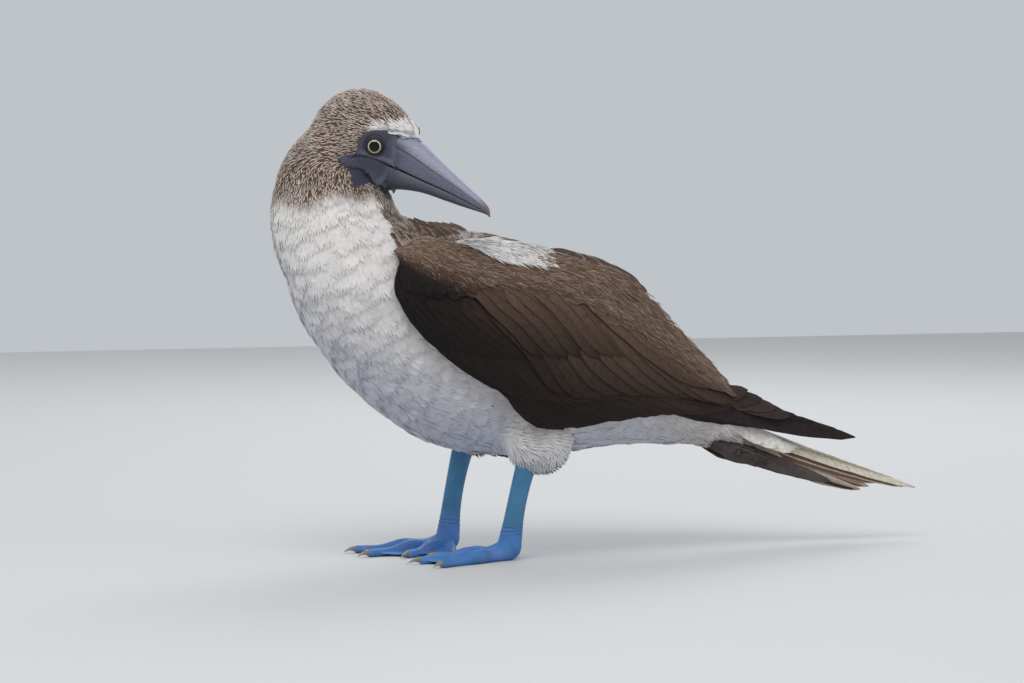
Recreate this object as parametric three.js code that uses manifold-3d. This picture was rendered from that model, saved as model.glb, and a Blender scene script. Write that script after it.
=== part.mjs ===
// A blue footed booby standing at rest, life size, in millimetres, its head turned back over its left
// shoulder. It faces -X, +Z is up and -Y is its own left side. The origin is on the floor, at the middle
// of its outline.
import * as THREE from "three";
import { mergeVertices } from "three/addons/utils/BufferGeometryUtils.js";
import Module from "manifold-3d";

const wasm = await Module();
wasm.setup();

// Driving dimensions.
const seam = 0.3; // gap between parts that meet
const cutSize = 400; // side of a slab that parts two pieces

// Torso and neck, from the tail root up into the head: back line, belly line, half width and the
// sideways shift.
const trunk = {
  backX: [262, 222, 172, 118, 68, 26, -8, -34, -50, -56, -57, -60, -68, -82, -98],
  backZ: [110, 150, 194, 233, 259, 271, 277, 282, 288, 301, 320, 338, 352, 362, 368],
  bellyX: [250, 205, 150, 92, 38, -12, -58, -98, -128, -148, -158, -153, -141, -124, -106],
  bellyZ: [82, 87, 88, 84, 82, 90, 114, 149, 190, 236, 278, 312, 337, 355, 366],
  half: [16, 28, 42, 54, 61, 65, 66, 65, 61, 53, 42, 31, 27, 21, 9],
  shift: [0, 0, 0, 0, 0, 0, 0, 0, 0, 1, 3, 7, 10, 12, 13],
  steps: 26,
  facets: 22,
};

// The head's own frame: x runs to the bill's tip, y to the head's left and z up, from the middle
// between the eyes.
const head = { place: [-66, -17.6, 343.6], turn: -50, dip: 23 };
const skull = {
  x: [-66, -60, -46, -26, -6, 8, 16],
  top: [-2, 17, 31, 37, 35.5, 31.5, 27],
  bottom: [-18, -34, -42, -42, -39, -37, -35],
  half: [9, 22, 30, 31.5, 28, 22, 17.5],
  steps: 12,
  facets: 22,
};
const forehead = {
  x: [6, 12, 20, 26, 30],
  top: [30.5, 28, 24, 20.5, 17],
  bottom: [12, 13, 12.5, 12, 12],
  half: [12, 13, 11, 7.5, 3.5],
  steps: 6,
  facets: 12,
};
// Edge of the bare face skin, seen from the side.
const faceEdge = [
  [40, 16.5], [23, 16.3], [13.7, 15], [7.3, 13.2], [0.8, 10.6], [-4.6, 6.6], [-6.8, 0.5], [-4.4, -6.5],
  [-5.5, -12], [-9, -15.5], [-15.5, -19.3], [-11.1, -24.5], [-5.8, -29.5], [-1.1, -33.8], [3.5, -37],
  [5, -50], [40, -50],
];
const eye = { ahead: 2, side: 18.6, radius: 8.8, forward: 27, lidRadius: 6.9, lidThick: 1.35, lidOut: 6.2 };

// Upper and lower bill: height of the outline and of the mouth line, and half width, along the head's x.
const bill = {
  x: [16.3, 30, 50, 70, 88, 102, 110, 114],
  culmen: [17.5, 15.8, 9.8, 3.9, -1.2, -5.2, -9, -15],
  mouth: [-10.8, -11, -11.1, -10.8, -11.2, -12, -13, -15],
  keel: [-34, -27.5, -22, -19.6, -17.4, -15.4, -14.4, -14.6],
  half: [15, 12.4, 9.4, 7, 5.2, 3.9, 2.6, 0.9],
  steps: 13,
};
// Half of a bill section: share of the half width, and of the height over the mouth line.
const upperSection = [
  [1, 0], [1, 0.24], [0.9, 0.5], [0.74, 0.6], [0.72, 0.7], [0.55, 0.87], [0.26, 0.98], [0, 1],
];
const lowerSection = [[1, 0], [0.97, 0.35], [0.78, 0.72], [0.42, 0.96], [0, 1]];

// The folded wing's outer face, from the wrist to the last flight feather: its upper and its lower edge.
const wing = {
  topX: [-74, -42, 18, 82, 139, 194, 246],
  topY: [-52, -51, -48, -42, -34, -24, -12],
  topZ: [256, 264, 252, 246, 227, 178, 129],
  lowX: [-76, -70, -40, 14, 60, 150, 236],
  lowY: [-56, -67, -71, -72, -69, -54, -28],
  lowZ: [246, 205, 170, 137, 110, 113, 118],
  bulge: [7, 14, 18, 21, 22, 16, 7],
  thick: [5, 18, 24, 26, 24, 18, 10],
  core: { from: 0.01, to: 0.88, top: 0.02, low: [0.98, 0.8], sunk: 2.4, steps: 8, across: 5 },
};
// Tiers of flight feathers and long coverts on the wing, from the lowest tier to the highest. Roots and
// tips run from the first feather to the last, as shares along and across the wing.
const wingTiers = [
  { root: [[0.3, 0.78], [0.62, 0.34]], tip: [[0.67, 0.99], [0.99, 0.8]], half: [12, 13], lift: 0.2, count: 8 },
  { root: [[0.14, 0.68], [0.5, 0.26]], tip: [[0.52, 0.88], [0.85, 0.6]], half: [13, 13], lift: 2.8, count: 6 },
  { root: [[0.22, 0.26], [0.6, 0.2]], tip: [[0.6, 0.48], [1, 0.38]], half: [14, 11], lift: 5.2, count: 4 },
];
// The long outer flight feathers that reach past the wing to its tip: two below, and two shorter ones
// over them. They turn on edge towards their tips.
const primaries = {
  rootIn: 6,
  pairs: [
    { root: [0.7, 0.62], bend: [262, -20, 116], tip: [364, -8.5, 91], half: 7.6 },
    { root: [0.78, 0.3], bend: [246, -19, 132], tip: [298, -13, 113], half: 8.6 },
  ],
  step: { share: -0.03, across: 0.07, ahead: 3, side: 2.2, high: 5, shorter: 8 },
  endNormal: [0.05, -0.93, 0.36],
  tilt: 0.12,
};

// The tail is folded like a roof: from the middle pair to the outer one its feathers lie lower, shorter
// and more on edge. Roots and tips are measured along the tail, to the side and up from its root.
const tail = {
  slope: 17.5,
  coreLength: 46,
  pairs: [
    { root: [10, 2.5, 6], tip: [176, 3.5, 1.5], half: 7.5, lean: 38 },
    { root: [8, 4.5, 3.5], tip: [164, 5, -1], half: 8, lean: 50 },
    { root: [4, 7, 1], tip: [138, 7, -4.5], half: 8.5, lean: 58 },
    { root: [2, 9.5, -3], tip: [130, 8.5, -10], half: 8, lean: 64 },
    { root: [0, 12, -6.5], tip: [122, 10.5, -15], half: 8.5, lean: 70 },
    { root: [0, 14.5, -10], tip: [92, 12.5, -16], half: 7, lean: 76 },
  ],
  coverts: { count: 3, half: 7.5, root: [6, 10], above: [78, 9, 4.4], below: [62, -14, 1.5] },
};

const vane = { thick: 1.1, tipThick: 0.7, tilt: 0.1, sunk: 7, blunt: 0.5, pointed: 0.14, steps: 4 };

// Legs, with the left ankle behind the right one. Sections give the fore and aft radius and the
// sideways one.
const legs = {
  left: { ankle: [35, -38], hip: [57, -41], toeOut: 7, thighZ: 98 },
  right: { ankle: [8, 41], hip: [27, 42], toeOut: -11, thighZ: 108 },
  ankleZ: 21,
  hipZ: 104,
  fore: [10.2, 8.6, 8.2, 8.6, 9.6, 10.4],
  side: [8.2, 6.7, 6.4, 6.8, 7.8, 8.8],
  facets: 12,
  thigh: [30, 23, 27],
};
const foot = {
  toes: {
    hind: { angle: 68, length: 31, root: 5.4, claw: 7 },
    inner: { angle: 27, length: 62, root: 6.4, claw: 10 },
    middle: { angle: 4, length: 80, root: 7, claw: 11 },
    outer: { angle: -19, length: 80, root: 6.4, claw: 9 },
  },
  rise: 1.35,
  tipRadius: 3,
  press: 0.86,
  knuckle: 0.13,
  steps: 6,
  facets: 7,
  webThick: 1.2,
  webReach: 0.95,
  webScallop: 0.11,
};

// Materials, one for each kind of surface.
const paint = (color, roughness) => new THREE.MeshStandardMaterial({ color, roughness, metalness: 0 });
const materials = {
  whitePlumage: paint(0xe6e2dd, 0.9),
  headPlumage: paint(0xb3a294, 0.9),
  brownPlumage: paint(0x5a4436, 0.8),
  tailPlumage: paint(0xa8998a, 0.8),
  faceSkin: paint(0x3d4250, 0.6),
  billHorn: paint(0x7f8290, 0.45),
  footSkin: paint(0x3f87cf, 0.5),
  clawHorn: paint(0x8f8d84, 0.4),
  eyeGloss: paint(0xd8cf8a, 0.1),
};

// Numbers and curves.
const vector = (place) => new THREE.Vector3(...place);
const mix = (a, b, share) => a.map((value, i) => value + (b[i] - value) * share);
const range = (count) => Array.from({ length: count }, (_, i) => i);
const radians = THREE.MathUtils.degToRad;

// A smooth value through evenly spaced ones, at a share from 0 to 1, going straight on past either end.
function along(values, share) {
  const last = values.length - 1;
  const place = share * last;
  const i = THREE.MathUtils.clamp(Math.floor(place), 0, last - 1);
  const f = place - i;
  const a = values[i];
  const b = values[i + 1];
  const slopeA = i > 0 ? (b - values[i - 1]) / 2 : b - a;
  const slopeB = i + 2 <= last ? (values[i + 2] - a) / 2 : b - a;
  if (f < 0) return a + slopeA * f;
  if (f > 1) return b + slopeB * (f - 1);
  const square = f * f;
  const cube = square * f;
  return (
    (2 * cube - 3 * square + 1) * a + (cube - 2 * square + f) * slopeA +
    (3 * square - 2 * cube) * b + (cube - square) * slopeB
  );
}

// Solids.
function solidOf(geometry) {
  const bare = geometry.clone();
  bare.deleteAttribute("normal");
  bare.deleteAttribute("uv");
  const merged = mergeVertices(bare, 1e-3);
  const vertProperties = merged.attributes.position.array;
  const triVerts = new Uint32Array(merged.index.array);
  const made = new wasm.Manifold(new wasm.Mesh({ numProp: 3, vertProperties, triVerts }));
  if (made.volume() >= 0) return made;
  const turned = triVerts.slice();
  for (let i = 0; i < turned.length; i += 3) {
    turned[i + 1] = triVerts[i + 2];
    turned[i + 2] = triVerts[i + 1];
  }
  return new wasm.Manifold(new wasm.Mesh({ numProp: 3, vertProperties, triVerts: turned }));
}

function geometryOf(solid) {
  const mesh = solid.getMesh();
  const geometry = new THREE.BufferGeometry();
  const places = new Float32Array(mesh.numVert * 3);
  for (let i = 0; i < mesh.numVert; i++) {
    places.set(mesh.vertProperties.subarray(i * mesh.numProp, i * mesh.numProp + 3), i * 3);
  }
  geometry.setAttribute("position", new THREE.BufferAttribute(places, 3));
  geometry.setIndex(new THREE.BufferAttribute(mesh.triVerts, 1));
  geometry.computeVertexNormals();
  return geometry;
}

function surface(points, faces) {
  const geometry = new THREE.BufferGeometry().setFromPoints(points);
  geometry.setIndex(faces.flat());
  return geometry;
}

const joined = (solids) => solids.reduce((whole, next) => whole.add(next));
const volumeOf = (solid) => solid.volume();
const largest = (solid) => solid.decompose().reduce((a, b) => (volumeOf(b) > volumeOf(a) ? b : a));
const moved = (solid, matrix) => solid.transform(matrix.elements);

// A closed tube through rings of points, shut by a fan at either end.
function loft(rings) {
  const count = rings[0].length;
  const points = rings.flat();
  const faces = [];
  range(rings.length - 1).forEach((r) =>
    range(count).forEach((k) => {
      const a = r * count + k;
      const b = r * count + ((k + 1) % count);
      faces.push([a, b, a + count], [b, b + count, a + count]);
    }),
  );
  [0, rings.length - 1].forEach((r) => {
    const middle = rings[r].reduce((sum, p) => sum.add(p), new THREE.Vector3()).divideScalar(count);
    const hub = points.push(middle) - 1;
    range(count).forEach((k) => {
      const pair = [r * count + k, r * count + ((k + 1) % count)];
      faces.push(r ? [hub, ...pair] : [hub, pair[1], pair[0]]);
    });
  });
  return solidOf(surface(points, faces));
}

// A ring round a centre, from its two half axes and the share of each that every angle takes.
function ringOf(centre, side, up, facets) {
  return range(facets).map((k) => {
    const angle = (k / facets) * Math.PI * 2;
    return centre.clone().addScaledVector(side, Math.cos(angle)).addScaledVector(up, Math.sin(angle));
  });
}

// A thin sheet with a grid of points on each face, both faces split alike.
function sheetOf(upper, lower) {
  const rows = upper.length;
  const columns = upper[0].length;
  const points = [...upper.flat(), ...lower.flat()];
  const at = (face, row, column) => face * rows * columns + row * columns + column;
  const faces = [];
  range(rows - 1).forEach((r) =>
    range(columns - 1).forEach((c) => {
      const [a, b, d, e] = [at(0, r, c), at(0, r, c + 1), at(0, r + 1, c), at(0, r + 1, c + 1)];
      const under = rows * columns;
      faces.push([a, b, d], [b, e, d]);
      faces.push([a + under, d + under, b + under], [b + under, d + under, e + under]);
    }),
  );
  const rim = [
    ...range(columns).map((c) => [0, c]),
    ...range(rows - 1).map((r) => [r + 1, columns - 1]),
    ...range(columns - 1).map((c) => [rows - 1, columns - 2 - c]),
    ...range(rows - 2).map((r) => [rows - 2 - r, 0]),
  ];
  rim.forEach(([r, c], i) => {
    const [nextR, nextC] = rim[(i + 1) % rim.length];
    const [a, b] = [at(0, r, c), at(0, nextR, nextC)];
    const [d, e] = [at(1, r, c), at(1, nextR, nextC)];
    faces.push([a, d, b], [b, d, e]);
  });
  return solidOf(surface(points, faces));
}

// A feather: a thin vane along a path, narrow at its root, tilted so that one edge lies over the next
// feather.
function feather(path, normals, half, tilt, end) {
  const last = path.length - 1;
  const upper = [];
  const lower = [];
  path.forEach((point, i) => {
    const share = i / last;
    const ahead = path[Math.min(i + 1, last)].clone().sub(path[Math.max(i - 1, 0)]).normalize();
    const side = new THREE.Vector3().crossVectors(ahead, normals[i]).normalize();
    const up = new THREE.Vector3().crossVectors(side, ahead).normalize();
    const wide = half * Math.min(0.5 + 2 * share, 1, end + 2.6 * (1 - share));
    const out = side.addScaledVector(up, tilt).multiplyScalar(wide);
    const edge = (sign) => point.clone().addScaledVector(out, sign);
    const thick = THREE.MathUtils.lerp(vane.thick, vane.tipThick, share);
    const row = [edge(-1), edge(1)];
    upper.push(row);
    lower.push(row.map((p) => p.clone().addScaledVector(up, -thick)));
  });
  return sheetOf(upper, lower);
}

// Torso and neck in one, grown outwards by a little where another part has to clear it.
function trunkSolid(grow = 0) {
  const rings = range(trunk.steps + 1).map((i) => {
    const share = i / trunk.steps;
    const shift = along(trunk.shift, share);
    const back = new THREE.Vector3(along(trunk.backX, share), shift, along(trunk.backZ, share));
    const belly = new THREE.Vector3(along(trunk.bellyX, share), shift, along(trunk.bellyZ, share));
    const up = back.clone().sub(belly).multiplyScalar(0.5);
    const centre = back.clone().add(belly).multiplyScalar(0.5);
    up.setLength(up.length() + grow);
    const side = new THREE.Vector3(0, along(trunk.half, share) + grow, 0);
    return ringOf(centre, side, up, trunk.facets);
  });
  return loft(rings);
}

// A loft along the head's x from tables of its top, bottom and half width.
function headLoft(table, grow = 0) {
  const rings = range(table.steps + 1).map((i) => {
    const share = i / table.steps;
    const top = along(table.top, share);
    const bottom = along(table.bottom, share);
    const centre = new THREE.Vector3(along(table.x, share), 0, (top + bottom) / 2);
    const side = new THREE.Vector3(0, along(table.half, share) + grow, 0);
    const up = new THREE.Vector3(0, 0, (top - bottom) / 2 + grow);
    return ringOf(centre, side, up, table.facets);
  });
  return loft(rings);
}

// The turn that points a thing's z along a direction.
function turnTo(direction) {
  const upward = new THREE.Vector3(0, 0, 1);
  return new THREE.Quaternion().setFromUnitVectors(upward, direction.clone().normalize());
}

function placedAt(point, direction) {
  return new THREE.Matrix4().compose(vector(point), turnTo(vector(direction)), new THREE.Vector3(1, 1, 1));
}

// A slab that parts two pieces, centred on a point and square to a direction.
function slab(point, direction) {
  return solidOf(new THREE.BoxGeometry(cutSize, cutSize, seam).applyMatrix4(placedAt(point, direction)));
}

// The same slab, but thick on its far side, so that it takes away all that lies there.
function beyond(point, direction) {
  const block = new THREE.BoxGeometry(cutSize * 2, cutSize * 2, cutSize * 2).translate(0, 0, cutSize);
  return solidOf(block.applyMatrix4(placedAt(point, direction)));
}

// The head.
const headGroup = new THREE.Group();
headGroup.position.set(...head.place);
headGroup.rotation.set(0, radians(head.dip), radians(head.turn), "ZYX");
headGroup.updateMatrix();
const headPlace = headGroup.matrix.clone();

function eyeAt(sign, out = 0) {
  const turn = radians(eye.forward);
  const axis = new THREE.Vector3(Math.sin(turn), sign * Math.cos(turn), 0.06).normalize();
  return { axis, point: new THREE.Vector3(eye.ahead, sign * eye.side, 0).addScaledVector(axis, out) };
}

function eyeball(sign, radius) {
  const { point } = eyeAt(sign);
  return solidOf(new THREE.SphereGeometry(radius, 12, 8).translate(...point.toArray()));
}

function lidRing(sign) {
  const { axis, point } = eyeAt(sign, eye.lidOut);
  const ring = new THREE.TorusGeometry(eye.lidRadius, eye.lidThick, 6, 12);
  return solidOf(ring.applyQuaternion(turnTo(axis)).translate(...point.toArray()));
}

// The face's edge as a plate right through the head, moved outwards by a gap.
function facePlate(gap) {
  const outline = faceEdge.map((point, i) => {
    const before = faceEdge[(i + faceEdge.length - 1) % faceEdge.length];
    const after = faceEdge[(i + 1) % faceEdge.length];
    const way = new THREE.Vector2(after[0] - before[0], after[1] - before[1]).normalize();
    return new THREE.Vector2(point[0] + way.y * gap, point[1] - way.x * gap);
  });
  const depth = 120;
  const plate = new THREE.ExtrudeGeometry(new THREE.Shape(outline), { depth, bevelEnabled: false });
  return solidOf(plate.translate(0, 0, -depth / 2).rotateX(Math.PI / 2));
}

function headParts(neckTop) {
  const whole = joined([headLoft(skull), headLoft(forehead), neckTop]);
  const bare = facePlate(0);
  const billCut = beyond([bill.x[0] - seam, 0, 0], [1, 0, 0]).subtract(headLoft(forehead, 0.01));
  const lids = joined([lidRing(1), lidRing(-1)]);
  const sockets = joined([eyeball(1, eye.radius + seam), eyeball(-1, eye.radius + seam)]);
  const face = joined([whole.intersect(bare).subtract(billCut), lids]).subtract(sockets);
  const lidRoom = joined([1, -1].map((sign) => eyeball(sign, eye.radius + 2.2)));
  return {
    head: largest(whole.subtract(facePlate(seam)).subtract(billCut).subtract(lidRoom)),
    face: largest(face),
  };
}

function billSolid(section, edge, base, grow) {
  const mirrored = section.slice(0, -1).reverse().map(([wide, tall]) => [-wide, tall]);
  const outline = [...section, ...mirrored];
  const rings = range(bill.steps + 1).map((i) => {
    const share = i / bill.steps;
    const from = along(base, share) + grow;
    const to = along(edge, share);
    const wide = along(bill.half, share);
    const ahead = along(bill.x, share);
    return outline.map(([w, t]) => new THREE.Vector3(ahead, w * wide, from + (to - from) * t));
  });
  return loft(rings);
}

// A point on the wing's outer face at a share along and across it, moved out along the face.
function wingPoint(share, across, out = 0) {
  const at = (s, t) => {
    const top = new THREE.Vector3(along(wing.topX, s), along(wing.topY, s), along(wing.topZ, s));
    const low = new THREE.Vector3(along(wing.lowX, s), along(wing.lowY, s), along(wing.lowZ, s));
    const point = top.lerp(low, t);
    point.y -= along(wing.bulge, s) * 4 * t * (1 - t);
    return point;
  };
  const point = at(share, across);
  const lengthwise = at(share + 0.01, across).sub(point);
  const crosswise = at(share, across + 0.01).sub(point);
  const normal = new THREE.Vector3().crossVectors(crosswise, lengthwise).normalize();
  return { point: point.addScaledVector(normal, out), normal };
}

function wingCore() {
  const { from, to, top, low, sunk, steps, across } = wing.core;
  const face = (inward) =>
    range(steps + 1).map((i) => {
      const share = from + ((to - from) * i) / steps;
      return range(across + 1).map((k) => {
        const t = top + ((THREE.MathUtils.lerp(low[0], low[1], i / steps) - top) * k) / across;
        const rim = Math.sqrt(Math.max(0, 1 - (2 * (k / across) - 1) ** 4));
        const thick = 1 + along(wing.thick, share) * (0.35 + 0.65 * rim);
        const depth = inward ? thick : 2.5 * (1 - rim);
        return wingPoint(share, t, -sunk - depth).point;
      });
    });
  return sheetOf(face(false), face(true));
}

function tierFeathers(tier) {
  return range(tier.count).map((i) => {
    const share = i / (tier.count - 1);
    const root = mix(tier.root[0], tier.root[1], share);
    const tip = mix(tier.tip[0], tier.tip[1], share);
    const half = THREE.MathUtils.lerp(tier.half[0], tier.half[1], share);
    const places = range(vane.steps + 1).map((k) => {
      const [s, t] = mix(root, tip, k / vane.steps);
      return wingPoint(s, t, k ? tier.lift : -vane.sunk);
    });
    const path = places.map((place) => place.point);
    return feather(path, places.map((place) => place.normal), half, vane.tilt, vane.blunt);
  });
}

function primaryFeathers() {
  const { share, across, ahead, side, high, shorter } = primaries.step;
  return primaries.pairs.flatMap(({ root, bend, tip, half }) =>
    [0, 1].map((k) => {
      const start = wingPoint(root[0] + share * k, root[1] + across * k, -primaries.rootIn);
      const middle = vector(bend).add(new THREE.Vector3(-ahead * k, side * k, -high * k));
      const end = vector(tip).add(new THREE.Vector3(-shorter * k, side * k, 0));
      const path = new THREE.CatmullRomCurve3([start.point, middle, end]).getPoints(vane.steps + 1);
      const edgewise = vector(primaries.endNormal);
      const normals = path.map((_, i) => start.normal.clone().lerp(edgewise, i / (path.length - 1)));
      return feather(path, normals, half, primaries.tilt, vane.pointed);
    }),
  );
}

// The left wing before it is fitted to the body.
function wingSolid() {
  const feathers = [...wingTiers.flatMap(tierFeathers), ...primaryFeathers()];
  return joined([wingCore(), ...feathers]).subtract(beyond([0, -seam, 0], [0, 1, 0]));
}

// The tail, in the frame of its root.
const tailRoot = new THREE.Vector3(
  (trunk.backX[0] + trunk.bellyX[0]) / 2, 0, (trunk.backZ[0] + trunk.bellyZ[0]) / 2,
);
const rootUp = new THREE.Vector3(trunk.backX[0] - trunk.bellyX[0], 0, trunk.backZ[0] - trunk.bellyZ[0]);
const rootAhead = new THREE.Vector3(rootUp.z, 0, -rootUp.x).normalize();

function tailSolid() {
  const slope = radians(tail.slope);
  const ahead = new THREE.Vector3(Math.cos(slope), 0, -Math.sin(slope));
  const up = new THREE.Vector3(Math.sin(slope), 0, Math.cos(slope));
  const across = new THREE.Vector3(0, 1, 0);
  const place = (forward, side, high) => {
    const point = tailRoot.clone().addScaledVector(ahead, forward);
    return point.addScaledVector(across, side).addScaledVector(up, high);
  };
  const straight = (root, tip) => range(4).map((i) => root.clone().lerp(tip, i / 3));
  const start = tailRoot.clone().addScaledVector(rootAhead, seam);
  const rings = range(5).map((i) => {
    const share = i / 4;
    const centre = i ? place(tail.coreLength * share, 0, -1.5 * share) : start;
    const tall = THREE.MathUtils.lerp(rootUp.length() / 2, 6, share);
    const lift = i ? up.clone() : rootUp.clone().normalize();
    const side = new THREE.Vector3(0, trunk.half[0] + 2 * share, 0);
    return ringOf(centre, side, lift.multiplyScalar(tall), 20);
  });
  const quills = tail.pairs.flatMap(({ root, tip, half, lean }) =>
    [-1, 1].map((sign) => {
      const over = sign > 0 ? 1.4 : 0;
      const from = place(root[0], sign * root[1], root[2] + over);
      const path = straight(from, place(tip[0], sign * tip[1], tip[2] + over));
      const normal = up.clone().multiplyScalar(Math.cos(radians(lean)));
      normal.addScaledVector(across, sign * Math.sin(radians(lean)));
      return feather(path, path.map(() => normal), half, 0, vane.pointed);
    }),
  );
  const { count, half, root: covertRoot, above, below } = tail.coverts;
  const coverts = [1, -1].flatMap((face) =>
    range(count).map((i) => {
      const offset = i - (count - 1) / 2;
      const off = Math.abs(offset);
      const [length, high, drop] = face > 0 ? above : below;
      const root = place(covertRoot[0], offset * 7, face * (covertRoot[1] - off * 1.6));
      const path = straight(root, place(length - off * 10, offset * 9, high - off * drop));
      const normal = up.clone().multiplyScalar(face).addScaledVector(across, offset * 0.2).normalize();
      return feather(path, path.map(() => normal), half, 0, vane.pointed);
    }),
  );
  const behind = beyond(start.toArray(), rootAhead.clone().negate().toArray());
  return largest(joined([loft(rings), ...quills, ...coverts]).subtract(behind));
}

// A foot in its own frame: the ankle over the origin, the toes along -X, and +Y towards the other foot.
function toeCentre(toe, share) {
  const angle = radians(toe.angle);
  const radius = toeRadius(toe, share);
  const high = radius * foot.press * THREE.MathUtils.lerp(foot.rise, 1, share);
  const reach = toe.length * share;
  return new THREE.Vector3(-Math.cos(angle) * reach, Math.sin(angle) * reach, high);
}

function toeRadius(toe, share) {
  const plain = THREE.MathUtils.lerp(toe.root, foot.tipRadius, share);
  return plain * (1 + foot.knuckle * Math.cos(share * Math.PI * 4));
}

function toeRings(toe, centres, radii, heights) {
  const angle = radians(toe.angle);
  const side = new THREE.Vector3(Math.sin(angle), Math.cos(angle), 0);
  return centres.map((centre, i) => {
    const up = new THREE.Vector3(0, 0, heights[i]);
    return ringOf(centre, side.clone().multiplyScalar(radii[i]), up, foot.facets);
  });
}

function toeSolid(toe) {
  const shares = range(foot.steps + 1).map((i) => i / foot.steps);
  const centres = shares.map((s) => toeCentre(toe, s));
  const heights = centres.map((centre) => centre.z / foot.press);
  return loft(toeRings(toe, centres, shares.map((s) => toeRadius(toe, s)), heights));
}

function clawSolid(toe) {
  const angle = radians(toe.angle);
  const end = toeCentre(toe, 1);
  const radius = toeRadius(toe, 1) * 0.86;
  const shares = [0, 0.25, 0.5, 0.75, 1];
  const centres = shares.map((s) => {
    const reach = seam + toe.claw * s;
    const high = THREE.MathUtils.lerp(end.z, 0.9, s) + 1.6 * Math.sin(Math.PI * s) + 0.2;
    return new THREE.Vector3(end.x - Math.cos(angle) * reach, end.y + Math.sin(angle) * reach, high);
  });
  const radii = shares.map((s) => THREE.MathUtils.lerp(radius, 0.5, s ** 0.8));
  return loft(toeRings(toe, centres, radii, radii));
}

function webSolid(first, second) {
  const rows = 4;
  const columns = 4;
  const half = foot.webThick / 2;
  const face = (lift) =>
    range(rows).map((r) =>
      range(columns).map((c) => {
        const across = c / (columns - 1);
        const reach = foot.webReach - foot.webScallop * Math.sin(Math.PI * across);
        const share = 0.1 + (reach - 0.1) * (r / (rows - 1));
        const point = toeCentre(first, share).lerp(toeCentre(second, share), across);
        const sag = 1.5 * Math.sin(Math.PI * across) * share;
        return new THREE.Vector3(point.x, point.y, Math.max(point.z - sag, half + 0.05) + lift);
      }),
    );
  return sheetOf(face(half), face(-half));
}

function footTurn(side, toeOut) {
  const turn = new THREE.Matrix4().makeRotationZ(radians(side < 0 ? toeOut : -toeOut));
  return turn.multiply(new THREE.Matrix4().makeScale(1, -side, 1));
}

function limb(leg, side) {
  const [ankleX, ankleY] = leg.ankle;
  const toes = Object.values(foot.toes);
  const webs = range(toes.length - 1).map((i) => webSolid(toes[i], toes[i + 1]));
  const pieces = [...toes.map(toeSolid), ...webs];
  const turned = footTurn(side, leg.toeOut);
  const placed = new THREE.Matrix4().makeTranslation(ankleX, ankleY, 0).multiply(turned);
  const knob = solidOf(new THREE.SphereGeometry(1, 10, 7).scale(10, 8.6, 13).translate(ankleX, ankleY, 12));
  const rings = legs.fore.map((fore, i) => {
    const share = i / (legs.fore.length - 1);
    const [x, y] = mix(leg.ankle, leg.hip, share);
    const high = THREE.MathUtils.lerp(legs.ankleZ - 6, legs.hipZ, share);
    const centre = new THREE.Vector3(x - 2.5 * Math.sin(Math.PI * share), y, high);
    const ahead = new THREE.Vector3(fore, 0, 0);
    return ringOf(centre, ahead, new THREE.Vector3(0, legs.side[i], 0), legs.facets);
  });
  const floor = beyond([0, 0, 0], [0, 0, -1]);
  const whole = joined([...pieces.map((piece) => moved(piece, placed)), knob, loft(rings)]).subtract(floor);
  const parted = whole.subtract(slab([leg.ankle[0], leg.ankle[1], legs.ankleZ + 4], [0, 0, 1])).decompose();
  const heightOf = (solid) => solid.boundingBox().max[2];
  parted.sort((a, b) => heightOf(a) - heightOf(b));
  const claws = Object.entries(foot.toes).map(([name, toe]) => [name, moved(clawSolid(toe), placed)]);
  return { foot: parted[0], leg: parted[parted.length - 1], claws };
}

function thighSolid(leg, grow) {
  const size = legs.thigh.map((value) => value + grow);
  const ball = new THREE.SphereGeometry(1, 16, 10).scale(...size);
  return solidOf(ball.translate(leg.hip[0] + 2, leg.hip[1] * 0.92, leg.thighZ));
}

// The bird, put together.
const bird = new THREE.Group();

function addPart(group, name, solid, material) {
  const mesh = new THREE.Mesh(geometryOf(solid), material);
  mesh.name = name;
  group.add(mesh);
}

const trunkWhole = trunkSolid();
const trunkClear = trunkSolid(seam);
const inHead = headPlace.clone().invert();
const neckCut = slab([-100, 0, 322], [0.42, -0.2, 0.88]);
const chestCut = slab([-105, 0, 272], [-0.26, 0, 0.96]);

const aboveNeck = beyond([-100, 0, 322 + seam / 2], [0.42, -0.2, 0.88]);
const { head: headSolid, face: faceSolid } = headParts(moved(trunkWhole.intersect(aboveNeck), inHead));
const headBelow = moved(beyond([-100, 0, 322 + seam / 2], [-0.42, 0.2, -0.88]), inHead);
bird.add(headGroup);
addPart(headGroup, "head", largest(headSolid.subtract(headBelow)), materials.headPlumage);
addPart(headGroup, "face", largest(faceSolid.subtract(headBelow)), materials.faceSkin);
const upperBill = billSolid(upperSection, bill.culmen, bill.mouth, seam / 2);
const lowerBill = billSolid(lowerSection, bill.keel, bill.mouth, -seam / 2);
addPart(headGroup, "upper_bill", largest(upperBill.subtract(headLoft(forehead, seam))), materials.billHorn);
addPart(headGroup, "lower_bill", largest(lowerBill), materials.billHorn);
addPart(headGroup, "eye_left", eyeball(1, eye.radius), materials.eyeGloss);
addPart(headGroup, "eye_right", eyeball(-1, eye.radius), materials.eyeGloss);

const parted = trunkWhole.subtract(joined([neckCut, chestCut])).decompose();
const lowest = (solid) => solid.boundingBox().min[2];
parted.sort((a, b) => lowest(a) - lowest(b));
const skullClear = moved(headLoft(skull, seam), headPlace);
addPart(bird, "torso", parted[0], materials.whitePlumage);
addPart(bird, "neck", largest(parted[1].subtract(skullClear)), materials.whitePlumage);

const tailWhole = tailSolid();
addPart(bird, "tail", tailWhole, materials.tailPlumage);

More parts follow.
